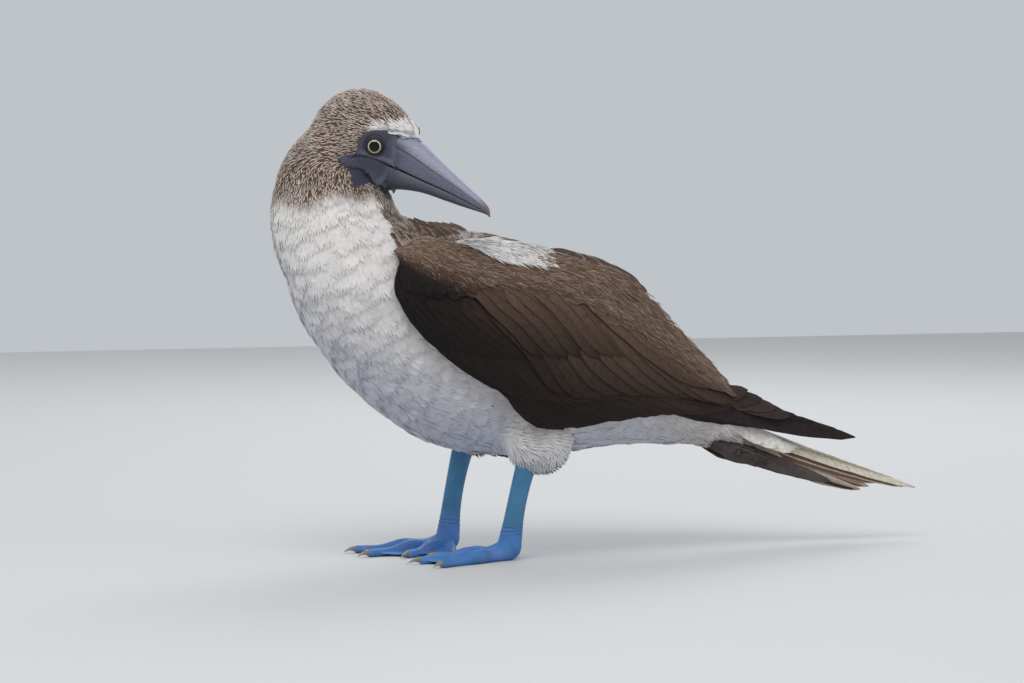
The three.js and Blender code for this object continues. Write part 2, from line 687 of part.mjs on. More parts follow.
const wingWhole = wingSolid();
const bodyClear = joined([trunkClear, tailWhole]);
const leftWing = largest(wingWhole.subtract(bodyClear));
const rightWing = largest(moved(wingWhole, new THREE.Matrix4().makeScale(1, -1, 1)).subtract(bodyClear));
addPart(bird, "wing_left", leftWing, materials.brownPlumage);
addPart(bird, "wing_right", rightWing, materials.brownPlumage);

[["left", -1], ["right", 1]].forEach(([name, side]) => {
  const leg = legs[name];
  const made = limb(leg, side);
  const thigh = largest(thighSolid(leg, 0).subtract(trunkClear).subtract(side < 0 ? leftWing : rightWing));
  const room = joined([thighSolid(leg, seam), trunkClear]);
  addPart(bird, `thigh_${name}`, thigh, materials.whitePlumage);
  addPart(bird, `leg_${name}`, largest(made.leg.subtract(room)), materials.footSkin);
  addPart(bird, `foot_${name}`, made.foot, materials.footSkin);
  made.claws.forEach(([toe, claw]) => addPart(bird, `claw_${name}_${toe}`, claw, materials.clawHorn));
});

// Stand the bird on the floor with the origin at the middle of its outline.
const part = new THREE.Group();
part.add(bird);
const outline = new THREE.Box3().setFromObject(part, true);
const middle = outline.getCenter(new THREE.Vector3());
bird.position.set(-middle.x, -middle.y, -outline.min.z);

export default part;
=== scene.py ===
# A blue footed booby standing at rest, its head turned back over its left shoulder.
# Sizes and places are millimetres in the bird's own frame: it faces -X, -Y is its left side and the floor
# is at z = 0. They become metres in the part's frame where a mesh is made.
import math

import bpy
import numpy as np
from mathutils import Matrix, Vector
from mathutils.bvhtree import BVHTree


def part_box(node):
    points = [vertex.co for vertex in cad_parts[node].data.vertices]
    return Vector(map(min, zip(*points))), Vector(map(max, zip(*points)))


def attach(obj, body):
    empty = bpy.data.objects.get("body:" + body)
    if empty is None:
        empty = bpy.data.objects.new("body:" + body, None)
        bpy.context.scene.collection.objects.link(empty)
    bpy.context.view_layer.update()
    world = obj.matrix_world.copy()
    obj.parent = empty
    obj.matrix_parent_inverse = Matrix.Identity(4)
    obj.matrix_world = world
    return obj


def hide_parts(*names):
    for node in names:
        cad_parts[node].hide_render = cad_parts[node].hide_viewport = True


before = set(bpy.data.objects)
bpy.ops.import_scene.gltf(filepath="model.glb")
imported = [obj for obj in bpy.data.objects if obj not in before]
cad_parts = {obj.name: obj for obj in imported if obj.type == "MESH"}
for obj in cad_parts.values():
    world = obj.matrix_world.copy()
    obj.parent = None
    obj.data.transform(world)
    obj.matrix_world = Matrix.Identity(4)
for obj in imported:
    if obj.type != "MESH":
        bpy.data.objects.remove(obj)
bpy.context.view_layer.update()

millimetre = 0.001
eyesMiddle = np.array([-64.8, -19.0, 342.8])  # the point between the eyes, in the bird's frame
eyePlaces = [np.mean([np.array(corner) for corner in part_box(name)], axis=0)
             for name in ("eye_left", "eye_right")]
birdOrigin = np.mean(eyePlaces, axis=0) - eyesMiddle * millimetre


# Numbers and curves.

def toPart(points):
    return np.asarray(points, float) * millimetre + birdOrigin


def toBird(points):
    return (np.asarray(points, float) - birdOrigin) / millimetre


def along(values, share):  # a smooth value through evenly spaced ones, at shares from 0 to 1
    values = np.asarray(values, float)
    last = len(values) - 1
    place = np.asarray(share, float) * last
    i = np.clip(np.floor(place).astype(int), 0, last - 1)
    f = place - i
    slopes = np.gradient(values, axis=0)
    if values.ndim > 1:
        f = f[..., None]
    g = np.clip(f, 0, 1)
    a, b, ma, mb = values[i], values[i + 1], slopes[i], slopes[i + 1]
    inside = ((2 * g**3 - 3 * g**2 + 1) * a + (g**3 - 2 * g**2 + g) * ma
              + (3 * g**2 - 2 * g**3) * b + (g**3 - g**2) * mb)
    return inside + np.where(f < 0, ma * f, 0) + np.where(f > 1, mb * (f - 1), 0)


def unit(vectors):
    vectors = np.asarray(vectors, float)
    return vectors / np.maximum(np.linalg.norm(vectors, axis=-1, keepdims=True), 1e-9)


def smooth(low, high, values):
    share = np.clip((np.asarray(values, float) - low) / (high - low), 0, 1)
    return share * share * (3 - 2 * share)


def blend(a, b, share):
    share = np.asarray(share, float)[..., None]
    return np.asarray(a, float) * (1 - share) + np.asarray(b, float) * share


def tone(red, green, blue):  # a colour as the eye reads it, 0 to 255, made linear
    value = np.array([red, green, blue], float) / 255
    return np.where(value > 0.04045, ((value + 0.055) / 1.055) ** 2.4, value / 12.92)


def ripple(points, size, seed):  # soft noise from -1 to 1 with bumps about size across
    rng = np.random.default_rng(seed)
    total = np.zeros(len(points))
    for _ in range(16):  # waves
        wave = unit(rng.normal(size=3)) * 2 * math.pi / (size * rng.uniform(0.9, 2.8))
        total += np.sin(points @ wave + rng.uniform(0, 6.3))
    return total / 4


# Meshes.

def makePiece(name, points, quads, tris, materials, colours=None, patches=None, barbs=None, shading=None):
    mesh = bpy.data.meshes.new(name)
    quads = np.asarray(quads, np.int32).reshape(-1, 4)
    tris = np.asarray(tris, np.int32).reshape(-1, 3)
    corners = np.concatenate([quads.ravel(), tris.ravel()])
    starts = np.concatenate([np.arange(len(quads)) * 4, len(quads) * 4 + np.arange(len(tris)) * 3])
    mesh.vertices.add(len(points))
    mesh.vertices.foreach_set("co", toPart(points).astype(np.float32).ravel())
    mesh.loops.add(len(corners))
    mesh.loops.foreach_set("vertex_index", corners)
    mesh.polygons.add(len(starts))
    mesh.polygons.foreach_set("loop_start", starts.astype(np.int32))
    mesh.polygons.foreach_set("use_smooth", np.ones(len(starts), bool))
    mesh.update(calc_edges=True)
    if colours is not None:
        store = mesh.attributes.new("tint", "FLOAT_COLOR", "POINT")
        filled = np.concatenate([colours, np.ones((len(colours), 1))], axis=1)
        store.data.foreach_set("color", filled.astype(np.float32).ravel())
    if barbs is not None:
        mesh.attributes.new("barb", "FLOAT", "POINT").data.foreach_set("value", barbs.astype(np.float32))
    if patches is not None:
        layer = mesh.uv_layers.new(name="OFBake")
        layer.data.foreach_set("uv", patches[corners].astype(np.float32).ravel())
    for material in materials:
        mesh.materials.append(material)
    mesh.validate()
    if shading is not None:
        mesh.normals_split_custom_set_from_vertices(shading.astype(np.float32))
    piece = bpy.data.objects.new(name, mesh)
    bpy.context.scene.collection.objects.link(piece)
    return piece


def finishPiece(piece, slot, *nodes):
    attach(piece, "root")
    if nodes:
        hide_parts(*nodes)


def tube(rings, closed=True):  # quads and end fans over rings of points, shape (rings, around, 3)
    count, around = rings.shape[:2]
    index = np.arange(count * around).reshape(count, around)
    after = np.roll(index, -1, axis=1)
    quads = np.stack([index[:-1], after[:-1], after[1:], index[1:]], axis=-1).reshape(-1, 4)
    points = rings.reshape(-1, 3)
    tris = np.zeros((0, 3), int)
    if closed:
        points = np.concatenate([points, rings[0].mean(0)[None], rings[-1].mean(0)[None]])
        hubs = count * around, count * around + 1
        start = np.stack([np.full(around, hubs[0]), after[0], index[0]], axis=-1)
        end = np.stack([np.full(around, hubs[1]), index[-1], after[-1]], axis=-1)
        tris = np.concatenate([start, end])
    return points, quads, tris


def outward(points, quads, tris):  # turns all faces round if they point inwards
    faces = np.concatenate([tris, quads[:, :3], quads[:, [0, 2, 3]]]) if len(quads) else tris
    a, b, c = (points[faces[:, i]] for i in range(3))
    if np.einsum("ij,ij->i", a, np.cross(b, c)).sum() < 0:
        return quads[:, ::-1], tris[:, ::-1]
    return quads, tris


class Heap:  # gathers small meshes into one
    def __init__(self):
        self.points, self.quads, self.tris, self.colours, self.barbs, self.patches = [], [], [], [], [], []
        self.shading = []
        self.count = 0

    def add(self, points, quads, tris, colours, barbs=None, patches=None, shading=None):
        self.points.append(points)
        self.quads.append(np.asarray(quads).reshape(-1, 4) + self.count)
        self.tris.append(np.asarray(tris).reshape(-1, 3) + self.count)
        self.colours.append(colours)
        self.barbs.append(np.zeros(len(points)) if barbs is None else barbs)
        self.patches.append(np.zeros((len(points), 2)) if patches is None else patches)
        if shading is not None:
            self.shading.append(shading)
        self.count += len(points)

    def make(self, name, material):
        parts = [np.concatenate(part) for part in (self.points, self.quads, self.tris, self.colours,
                                                   self.patches, self.barbs)]
        shading = np.concatenate(self.shading) if self.shading else None
        return makePiece(name, parts[0], parts[1], parts[2], [material], parts[3], parts[4], parts[5],
                         shading)


# Materials.

def newMaterial(name, roughness, **fixed):
    material = bpy.data.materials.new(name)
    material.use_nodes = True
    nodes, links = material.node_tree.nodes, material.node_tree.links
    shader = nodes["Principled BSDF"]
    shader.inputs["Roughness"].default_value = roughness
    for socket, value in fixed.items():
        shader.inputs[socket.replace("_", " ")].default_value = value
    return material, nodes, links, shader


def tintNode(nodes):
    node = nodes.new("ShaderNodeAttribute")
    node.attribute_name = "tint"
    return node


def noiseNode(nodes, links, scale, detail=3.0, stretch=None, turn=None):
    place = nodes.new("ShaderNodeTexCoord")
    noise = nodes.new("ShaderNodeTexNoise")
    noise.inputs["Scale"].default_value = scale
    noise.inputs["Detail"].default_value = detail
    if stretch is None:
        links.new(place.outputs["Object"], noise.inputs["Vector"])
    else:
        mapping = nodes.new("ShaderNodeMapping")
        mapping.inputs["Scale"].default_value = stretch
        if turn is not None:
            mapping.inputs["Rotation"].default_value = turn
        links.new(place.outputs["Object"], mapping.inputs["Vector"])
        links.new(mapping.outputs["Vector"], noise.inputs["Vector"])
    return noise


def cellsNode(nodes, links, scale):
    place = nodes.new("ShaderNodeTexCoord")
    cells = nodes.new("ShaderNodeTexVoronoi")
    cells.inputs["Scale"].default_value = scale
    links.new(place.outputs["Object"], cells.inputs["Vector"])
    return cells


def shadeByNoise(nodes, links, colour, noise, darkest, lightest, shader):
    # multiplies a colour by a band of noise
    band = nodes.new("ShaderNodeMapRange")
    band.inputs["From Min"].default_value = 0.3
    band.inputs["From Max"].default_value = 0.7
    band.inputs["To Min"].default_value = darkest
    band.inputs["To Max"].default_value = lightest
    links.new(noise.outputs["Fac"], band.inputs["Value"])
    mixer = nodes.new("ShaderNodeMix")
    mixer.data_type = "RGBA"
    mixer.blend_type = "MULTIPLY"
    mixer.inputs["Factor"].default_value = 1.0
    links.new(colour, mixer.inputs[6])
    links.new(band.outputs["Result"], mixer.inputs[7])
    links.new(mixer.outputs[2], shader.inputs["Base Color"])


def bumpFrom(nodes, links, height, depth, shader, strength=1.0, before=None):
    bump = nodes.new("ShaderNodeBump")
    bump.inputs["Strength"].default_value = strength
    bump.inputs["Distance"].default_value = depth
    links.new(height, bump.inputs["Height"])
    if before is not None:
        links.new(before.outputs["Normal"], bump.inputs["Normal"])
    links.new(bump.outputs["Normal"], shader.inputs["Normal"])
    return bump


def plumageMaterial(name, roughness, sheen, darkest=0.95, lightest=1.04):
    material, nodes, links, shader = newMaterial(name, roughness, Sheen_Weight=sheen, Sheen_Roughness=0.6)
    shader.inputs["Specular IOR Level"].default_value = 0.25
    noise = noiseNode(nodes, links, scale=420, detail=2)
    shadeByNoise(nodes, links, tintNode(nodes).outputs["Color"], noise, darkest, lightest, shader)
    return material


def vaneMaterial(name, roughness, barbPitch):
    material, nodes, links, shader = newMaterial(name, roughness)
    shader.inputs["Specular IOR Level"].default_value = 0.14
    barb = nodes.new("ShaderNodeAttribute")
    barb.attribute_name = "barb"
    turns = nodes.new("ShaderNodeMath")
    turns.operation = "MULTIPLY"
    turns.inputs[1].default_value = 2 * math.pi / barbPitch
    wave = nodes.new("ShaderNodeMath")
    wave.operation = "SINE"
    links.new(barb.outputs["Fac"], turns.inputs[0])
    links.new(turns.outputs["Value"], wave.inputs[0])
    noise = noiseNode(nodes, links, scale=260, detail=4)
    shadeByNoise(nodes, links, tintNode(nodes).outputs["Color"], noise, 0.8, 1.15, shader)
    bumpFrom(nodes, links, wave.outputs["Value"], depth=0.00012, shader=shader, strength=0.6)
    return material


# Camera: a long lens at the photograph's height, with the feet where the photograph has them.

cameraSettings = {
    "azimuth": -20.0,
    "pitch": 3.19,
    "distance": 3000.0,
    "focalLength": 126.3,
    "sensor": 36.0,
    "imageSize": (1024, 683),
    "footMark": (455.0, 556.5),  # where the bird's origin falls in the image
}


def placeCamera(settings):
    turn, pitch = math.radians(settings["azimuth"]), math.radians(settings["pitch"])
    right = np.array([math.cos(turn), math.sin(turn), 0])
    back = np.array([math.sin(turn) * math.cos(pitch), -math.cos(turn) * math.cos(pitch), math.sin(pitch)])
    up = np.cross(back, right)
    width, height = settings["imageSize"]
    focalPixels = settings["focalLength"] / settings["sensor"] * width
    across = (settings["footMark"][0] - width / 2) / focalPixels
    down = (settings["footMark"][1] - height / 2) / focalPixels
    eye = -settings["distance"] * (right * across - up * down - back)
    data = bpy.data.cameras.new("camera")
    data.lens = settings["focalLength"]
    data.sensor_width = settings["sensor"]
    data.clip_end = 50
    camera = bpy.data.objects.new("camera", data)
    axes = Matrix(np.stack([right, up, back], axis=1).tolist()).to_4x4()
    camera.matrix_world = Matrix.Translation(toPart(eye)) @ axes
    bpy.context.scene.collection.objects.link(camera)
    bpy.context.scene.camera = camera


placeCamera(cameraSettings)
print("camera placed")


# The head's own frame: x runs to the bill's tip, y to the head's left, z up, from between the eyes.

headPose = {"place": (-66.0, -17.6, 343.6), "turn": -50.0, "dip": 23.0}
headTurn = np.array(
    Matrix.Rotation(math.radians(headPose["turn"]), 3, "Z")
    @ Matrix.Rotation(math.radians(headPose["dip"]), 3, "Y")
)


def fromHead(points):
    return np.asarray(points, float) @ headTurn.T + np.array(headPose["place"])


def toHead(points):
    return (np.asarray(points, float) - np.array(headPose["place"])) @ headTurn


skull = {
    "x": [-66, -60, -46, -26, -6, 8, 16],
    "top": [-2, 17, 31, 37, 35.5, 31.5, 27],
    "bottom": [-18, -34, -42, -42, -39, -37, -35],
    "half": [9, 22, 30, 31.5, 28, 22, 17.5],
}
faceEdge = [  # the feathers' edge round the bare face, seen from the side in the head's frame
    (40, 16.5), (23, 16.3), (13.7, 15), (7.3, 13.2), (0.8, 10.6), (-4.6, 6.6), (-6.8, 0.5), (-4.4, -6.5),
    (-5.5, -12), (-9, -15.5), (-15.5, -19.3), (-10, -23), (-4.2, -27.6), (0.6, -32.4), (4.5, -36.5),
    (5, -50), (40, -50),
]
eye = {"ahead": 2.0, "side": 18.6, "radius": 8.8, "forward": 27.0, "opening": 5.7, "pupil": 4.4}

trunk = {  # middle line from the bill's root through the head, down the neck and along the body to the tail
    "middle": [
        (-57, -28, 338), (-72, -12, 346), (-87, 2, 348), (-100, 8, 338), (-107, 6, 316),
        (-107, 2, 292), (-99, 1, 255), (-75, 0, 213), (-38, 0, 183), (20, 0, 170), (80, 0, 160),
        (150, 0, 144), (215, 0, 117), (256, 0, 96), (300, 0, 84),
    ],
}


def inPolygon(x, y, polygon):
    inside = np.zeros(len(x), bool)
    for (ax, ay), (bx, by) in zip(polygon, polygon[1:] + polygon[:1]):
        crosses = (ay > y) != (by > y)
        inside ^= crosses & (x < (bx - ax) * (y - ay) / (by - ay + 1e-12) + ax)
    return inside


def edgeDistance(x, y, polygon):  # distance to the nearest side of a polygon
    best = np.full(len(x), 1e9)
    here = np.stack([x, y], axis=-1)
    for a, b in zip(polygon, polygon[1:] + polygon[:1]):
        a, b = np.array(a, float), np.array(b, float)
        share = np.clip(((here - a) @ (b - a)) / ((b - a) @ (b - a)), 0, 1)
        best = np.minimum(best, np.linalg.norm(here - a - share[:, None] * (b - a), axis=1))
    return best


def skullAt(x):
    share = np.interp(x, skull["x"], np.linspace(0, 1, len(skull["x"])))
    top, bottom, half = (along(skull[key], share) for key in ("top", "bottom", "half"))
    return (top + bottom) / 2, (top - bottom) / 2, half


def bareness(points):
    # how far inside the bare face a point of the skin lies, in millimetres, negative outside
    place = toHead(points)
    middle, tall, half = skullAt(place[:, 0])
    level = np.sqrt((place[:, 1] / half) ** 2 + ((place[:, 2] - middle) / tall) ** 2)
    distance = edgeDistance(place[:, 0], place[:, 2], faceEdge)
    limit = 1.15 + 0.6 * smooth(16, 4, place[:, 0]) * smooth(-6, -12, place[:, 2])
    inside = inPolygon(place[:, 0], place[:, 2], faceEdge) & (level < limit) & (place[:, 0] > -20)
    return np.where(inside, distance, -distance)


def trunkPlace(points):
    # share along the trunk's middle line, angle round it, and the line's direction there
    samples = np.linspace(0, 1, 160)
    line = along(trunk["middle"], samples)
    ways = unit(np.gradient(line, axis=0))
    nearest = np.zeros(len(points), int)
    best = np.full(len(points), 1e18)
    for i, place in enumerate(line):
        gap = ((points - place) ** 2).sum(1)
        closer = gap < best
        nearest[closer] = i
        best[closer] = gap[closer]
    way = ways[nearest]
    side = unit(np.cross(way, [0.0, 1.0, 0.0]))
    offset = points - line[nearest]
    angle = np.arctan2(offset[:, 1], (offset * side).sum(1))
    return samples[nearest], angle, way


# Colours of the plumage.

plumage = {
    "white": tone(231, 227, 224),
    "bellyShade": tone(160, 165, 186),
    "under": tone(82, 62, 50),
    "streak": tone(100, 76, 62),
    "tip": tone(226, 209, 198),
    "mantle": tone(104, 81, 66),
    "mantleTip": tone(200, 178, 158),
    "rearShade": tone(178, 166, 160),
    "bare": tone(54, 57, 72),
    "neckLine": 302.0,  # height where the streaked neck turns white
    "neckFade": 9.0,
}
patchSize = 0.0028  # side of a tuft's patch on the unwrap


def brownOf(points):  # 1 where the head and neck are streaked with brown, 0 where the plumage is white
    wave = ripple(points, 16, 3) * 4
    height = points[:, 2] + wave
    hind = smooth(-84, -62, points[:, 0]) * smooth(-40, -8, points[:, 1])
    line = plumage["neckLine"] - 16 * hind + 0.09 * (points[:, 0] + 110)
    brown = smooth(line - plumage["neckFade"], line + plumage["neckFade"], height)
    brown = np.maximum(brown, shoulderOf(points) * smooth(258, 270, height))
    place = toHead(points)
    nearFace = smooth(9, 5, -bareness(points) + wave * 0.3)
    white = nearFace * smooth(-5, 4, place[:, 0]) * smooth(3, 8, place[:, 2])
    ahead = smooth(13, 18, place[:, 0]) * smooth(0, 6, place[:, 2])
    return brown * (1 - np.maximum(white, ahead))


def shoulderOf(points):  # 0 in front of the line where the neck's side meets the brown back, 1 behind it
    return smooth(-1, 5, points[:, 0] + 0.45 * (points[:, 2] - 257) + 66 + ripple(points, 9, 6) * 2)


def mantleOf(points, normals):  # 1 where the back is covered by brown mantle feathers
    high = smooth(0.1, 0.35, normals[:, 2] + smooth(0, -40, points[:, 0]) * smooth(232, 244, points[:, 2]))
    low = smooth(284, 272, points[:, 2]) * smooth(120, 140, points[:, 2])
    return high * shoulderOf(points) * smooth(215, 185, points[:, 0]) * low


def whitePatchOf(points):  # the white down beside the mantle, over the folded wing
    side = np.abs(points[:, 1])
    beside = smooth(24, 29, side + 0.12 * points[:, 0])
    return smooth(-14, 6, points[:, 0]) * smooth(70, 64, points[:, 0]) * beside


def skinColour(points, normals):
    # the rear of the body where it faces down is painted darker and mottled: painted shade
    rear = smooth(120, 230, points[:, 0]) * smooth(0.2, -0.5, normals[:, 2])
    # plumage that faces down is painted bluish grey: painted shade
    colour = blend(plumage["white"], plumage["bellyShade"], smooth(0.1, -0.8, normals[:, 2]) * 0.75)
    shaded = rear * 0.5 + 0.35 * smooth(0.1, 0.9, ripple(points, 30, 8)) * rear
    colour = blend(colour, plumage["rearShade"], shaded)
    streaked = blend(plumage["streak"], plumage["tip"], np.full(len(points), 0.3))
    colour = blend(colour, streaked, brownOf(points))
    return blend(colour, plumage["mantle"], mantleOf(points, normals) * (1 - whitePatchOf(points)))


# The skin under the coat, one surface from head to thighs.

skinSizes = {"voxel": 2.0, "smoothing": 10, "fillet": 7.0, "coatDepth": 1.9, "headDepth": 1.2,
             "faceDepth": 3.6, "flangeLift": 2.2, "quilt": 0.36}


def evaluatedMesh(piece):
    graph = bpy.context.evaluated_depsgraph_get()
    return bpy.data.meshes.new_from_object(piece.evaluated_get(graph))


def readMesh(mesh):
    place = np.zeros(len(mesh.vertices) * 3, np.float32)
    mesh.vertices.foreach_get("co", place)
    normals = np.zeros(len(mesh.vertices) * 3, np.float32)
    mesh.vertices.foreach_get("normal", normals)
    mesh.calc_loop_triangles()
    tris = np.zeros(len(mesh.loop_triangles) * 3, np.int32)
    mesh.loop_triangles.foreach_get("vertices", tris)
    return toBird(place.reshape(-1, 3)), normals.reshape(-1, 3).astype(float), tris.reshape(-1, 3)


def smoothVoxels(piece, voxel, rounds):  # the piece's shape as one closed, relaxed surface; the piece goes
    remesh = piece.modifiers.new("remesh", "REMESH")
    remesh.mode = "VOXEL"
    remesh.voxel_size = voxel * millimetre
    relax = piece.modifiers.new("relax", "SMOOTH")
    relax.factor = 0.5
    relax.iterations = rounds
    mesh = evaluatedMesh(piece)
    bpy.data.objects.remove(piece)
    return mesh


def fuseNodes(name, nodes, voxel, rounds):  # copies of CAD nodes made one smooth surface
    points, tris, count = [], [], 0
    for node in nodes:
        place, _, corners = readMesh(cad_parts[node].data)
        points.append(place)
        tris.append(corners + count)
        count += len(place)
    piece = makePiece(name, np.concatenate(points), [], np.concatenate(tris), [])
    weld = piece.modifiers.new("weld", "WELD")
    weld.merge_threshold = 0.00001
    return smoothVoxels(piece, voxel, rounds)


def makeSkin():
    nodes = ["head", "face", "neck", "torso", "thigh_left", "thigh_right"]
    fused = fuseNodes("rawSkin", nodes, skinSizes["voxel"], skinSizes["smoothing"])
    points, normals, tris = readMesh(fused)
    # the skin is swollen and drawn back again, which fills its creases
    swollen = makePiece("swollenSkin", points + normals * skinSizes["fillet"], [], tris, [])
    points, normals, tris = readMesh(smoothVoxels(swollen, skinSizes["voxel"], skinSizes["smoothing"]))
    points = points - normals * skinSizes["fillet"]
    near = points[:, 2] > 280
    index = np.cumsum(near) - 1
    corners = tris[near[tris].all(1)]
    surface = BVHTree.FromPolygons(toHead(points[near]).tolist(), index[corners].tolist())
    headness = smooth(300, 325, points[:, 2])
    depth = skinSizes["coatDepth"] * (1 - headness) + skinSizes["headDepth"] * headness
    place = toHead(points)
    flange = smooth(6, 0, place[:, 0]) * smooth(-13, -19, place[:, 2])
    faceDepth = skinSizes["faceDepth"] - skinSizes["flangeLift"] * flange
    depth = depth + (faceDepth - depth) * smooth(-1.5, 1, bareness(points))
    quilt = (ripple(points, 12, 21) + ripple(points, 26, 22)) * skinSizes["quilt"]
    quilt = quilt * (1 - headness) * (1 - mantleOf(points, normals))
    points = points - normals * (depth - quilt)[:, None]
    colours = blend(skinColour(points, normals), plumage["under"],
                    brownOf(points) * smooth(1, -1, bareness(points)))
    colours = blend(colours, plumage["bare"], smooth(-1.0, 0.4, bareness(points)))
    material = plumageMaterial("skinPlumage", roughness=0.9, sheen=0.2)
    piece = makePiece("skin", points, [], tris, [material], colours)
    after, normals, tris = readMesh(piece.data)
    finishPiece(piece, "pale_plumage", "head", "neck", "torso", "thigh_left", "thigh_right")
    return after, normals, tris, surface


skinPoints, skinNormals, skinTris, headSurface = makeSkin()
print("skin made:", len(skinTris), "triangles")


# Scattering roots over the skin.

crowding = {"tries": 2.0, "gap": 0.78}  # roots tried for each cell, and their least gap in spacings


def scatter(tris, spacing, seed, keep):
    # roots at least spacing apart, on the triangles whose middles pass keep
    rng = np.random.default_rng(seed)
    a, b, c = (skinPoints[tris[:, i]] for i in range(3))
    middles = (a + b + c) / 3
    normals = unit(skinNormals[tris].mean(1))
    chosen = keep(middles, normals)
    tris, a, b, c = tris[chosen], a[chosen], b[chosen], c[chosen]
    areas = np.linalg.norm(np.cross(b - a, c - a), axis=1) / 2
    count = int(areas.sum() / spacing**2 * crowding["tries"])
    pick = rng.choice(len(tris), count, p=areas / areas.sum())
    u, v = rng.random(count), rng.random(count)
    over = u + v > 1
    u[over], v[over] = 1 - u[over], 1 - v[over]
    w = 1 - u - v
    corners = tris[pick]
    points = sum(skinPoints[corners[:, i]] * share[:, None] for i, share in enumerate((w, u, v)))
    normals = unit(sum(skinNormals[corners[:, i]] * share[:, None] for i, share in enumerate((w, u, v))))
    cells, kept = {}, []
    keys = np.floor(points / spacing).astype(int)
    steps = [(i, j, k) for i in (-1, 0, 1) for j in (-1, 0, 1) for k in (-1, 0, 1)]
    limit = (spacing * crowding["gap"]) ** 2
    places = points.tolist()
    for n, (key, place) in enumerate(zip(keys.tolist(), places)):
        near = (m for i, j, k in steps for m in cells.get((key[0] + i, key[1] + j, key[2] + k), ()))
        if all((place[0] - q[0]) ** 2 + (place[1] - q[1]) ** 2 + (place[2] - q[2]) ** 2 > limit
               for q in near):
            cells.setdefault(tuple(key), []).append(place)
            kept.append(n)
    return points[kept], normals[kept]


def lieOf(points, normals):
    # the way the feathers lie: back over the head, down the neck and along the body
    _, _, way = trunkPlace(points)
    place = toHead(points)
    toNape = headTurn @ np.array([-1.0, 0.0, -0.35])
    onHead = smooth(318, 338, points[:, 2])
    fan = np.zeros((len(points), 3))
    fan[:, 1] = 0.018 * place[:, 1]
    fan[:, 2] = 0.018 * place[:, 2]
    flow = way * (1 - onHead)[:, None] + (toNape + fan @ headTurn.T) * onHead[:, None]
    leg = smooth(35, 15, np.abs(points[:, 0] - 50)) * smooth(108, 92, points[:, 2])
    leg = leg * smooth(0.2, -0.2, normals[:, 2] + 0.2)
    flow = flow * (1 - leg)[:, None] + np.array([0.25, 0, -1.0]) * leg[:, None]
    return unit(flow - normals * (flow * normals).sum(1)[:, None])


def bakePlace(points):  # roots on an unwrap of the skin: along the trunk and round it
    share, angle, _ = trunkPlace(points)
    return np.stack([0.02 + 0.96 * (angle / (2 * math.pi) + 0.5), 0.02 + 0.96 * share], axis=-1)


def addBlades(heap, roots, normals, ways, lengths, widths, lifts, rootColours, tipColours, seed, ridge=0.3,
              stray=0.16, bake=None):
    # slim closed blades: a flat three sided base and middle, drawn to a point, bent back to the body
    rng = np.random.default_rng(seed)
    count = len(roots)
    ways = unit(ways + np.cross(normals, ways) * rng.normal(0, stray, count)[:, None])
    sides = unit(np.cross(ways, normals))
    points = np.zeros((count, 7, 3))
    for row, (reach, rise, swell) in enumerate(((-0.06, 0.0, 0.7), (0.48, 0.75, 1.0))):
        rises = lengths * lifts * rise - 0.25 * (row == 0)
        middle = roots + ways * (lengths * reach)[:, None] + normals * rises[:, None]
        half = (widths * swell / 2)[:, None]
        points[:, row * 3] = middle - sides * half
        points[:, row * 3 + 1] = middle + sides * half
        points[:, row * 3 + 2] = middle + normals * (widths * ridge)[:, None]
    points[:, 6] = roots + ways * lengths[:, None] + normals * (lengths * lifts * 0.9)[:, None]
    base = np.arange(count)[:, None, None] * 7
    quadShape = np.array([[0, 3, 5, 2], [2, 5, 4, 1], [1, 4, 3, 0]])
    triShape = np.array([[3, 6, 5], [5, 6, 4], [4, 6, 3], [0, 2, 1]])
    quads, tris = outward(points[0] - points[0].mean(0), quadShape, triShape)
    quads, tris = (base + quads[None]).reshape(-1, 4), (base + tris[None]).reshape(-1, 3)
    shares = np.array([0, 0, 0.05, 0.68, 0.68, 0.72, 1.0])
    mix = shares[None, :, None]
    colours = rootColours[:, None] * (1 - mix) + tipColours[:, None] * mix
    bake = bakePlace(roots) if bake is None else bake
    corners = np.stack([np.array([0, 1, 0.5, 0, 1, 0.5, 0.5]), shares], axis=-1)
    patches = bake[:, None] + patchSize * corners[None]
    lean = ridge * 1.6 * np.array([-1, 1, 0, -1, 1, 0, 0])
    shading = unit(normals[:, None] + sides[:, None] * lean[None, :, None] + ways[:, None] * 0.1)
    heap.add(points.reshape(-1, 3), quads, tris, colours.reshape(-1, 3), None, patches.reshape(-1, 2),
             shading.reshape(-1, 3))


coat = {
    "headSpacing": 1.4, "headLength": 4.2, "headWidth": 0.92, "headLift": 0.28,
    "bodySpacing": 3.5, "bodyLength": 11.5, "bodyWidth": 2.7, "bodyLift": 0.015, "bladesPerTuft": 5,
    "paleShare": 0.84,  # share of the head's feathers with a pale tip
}


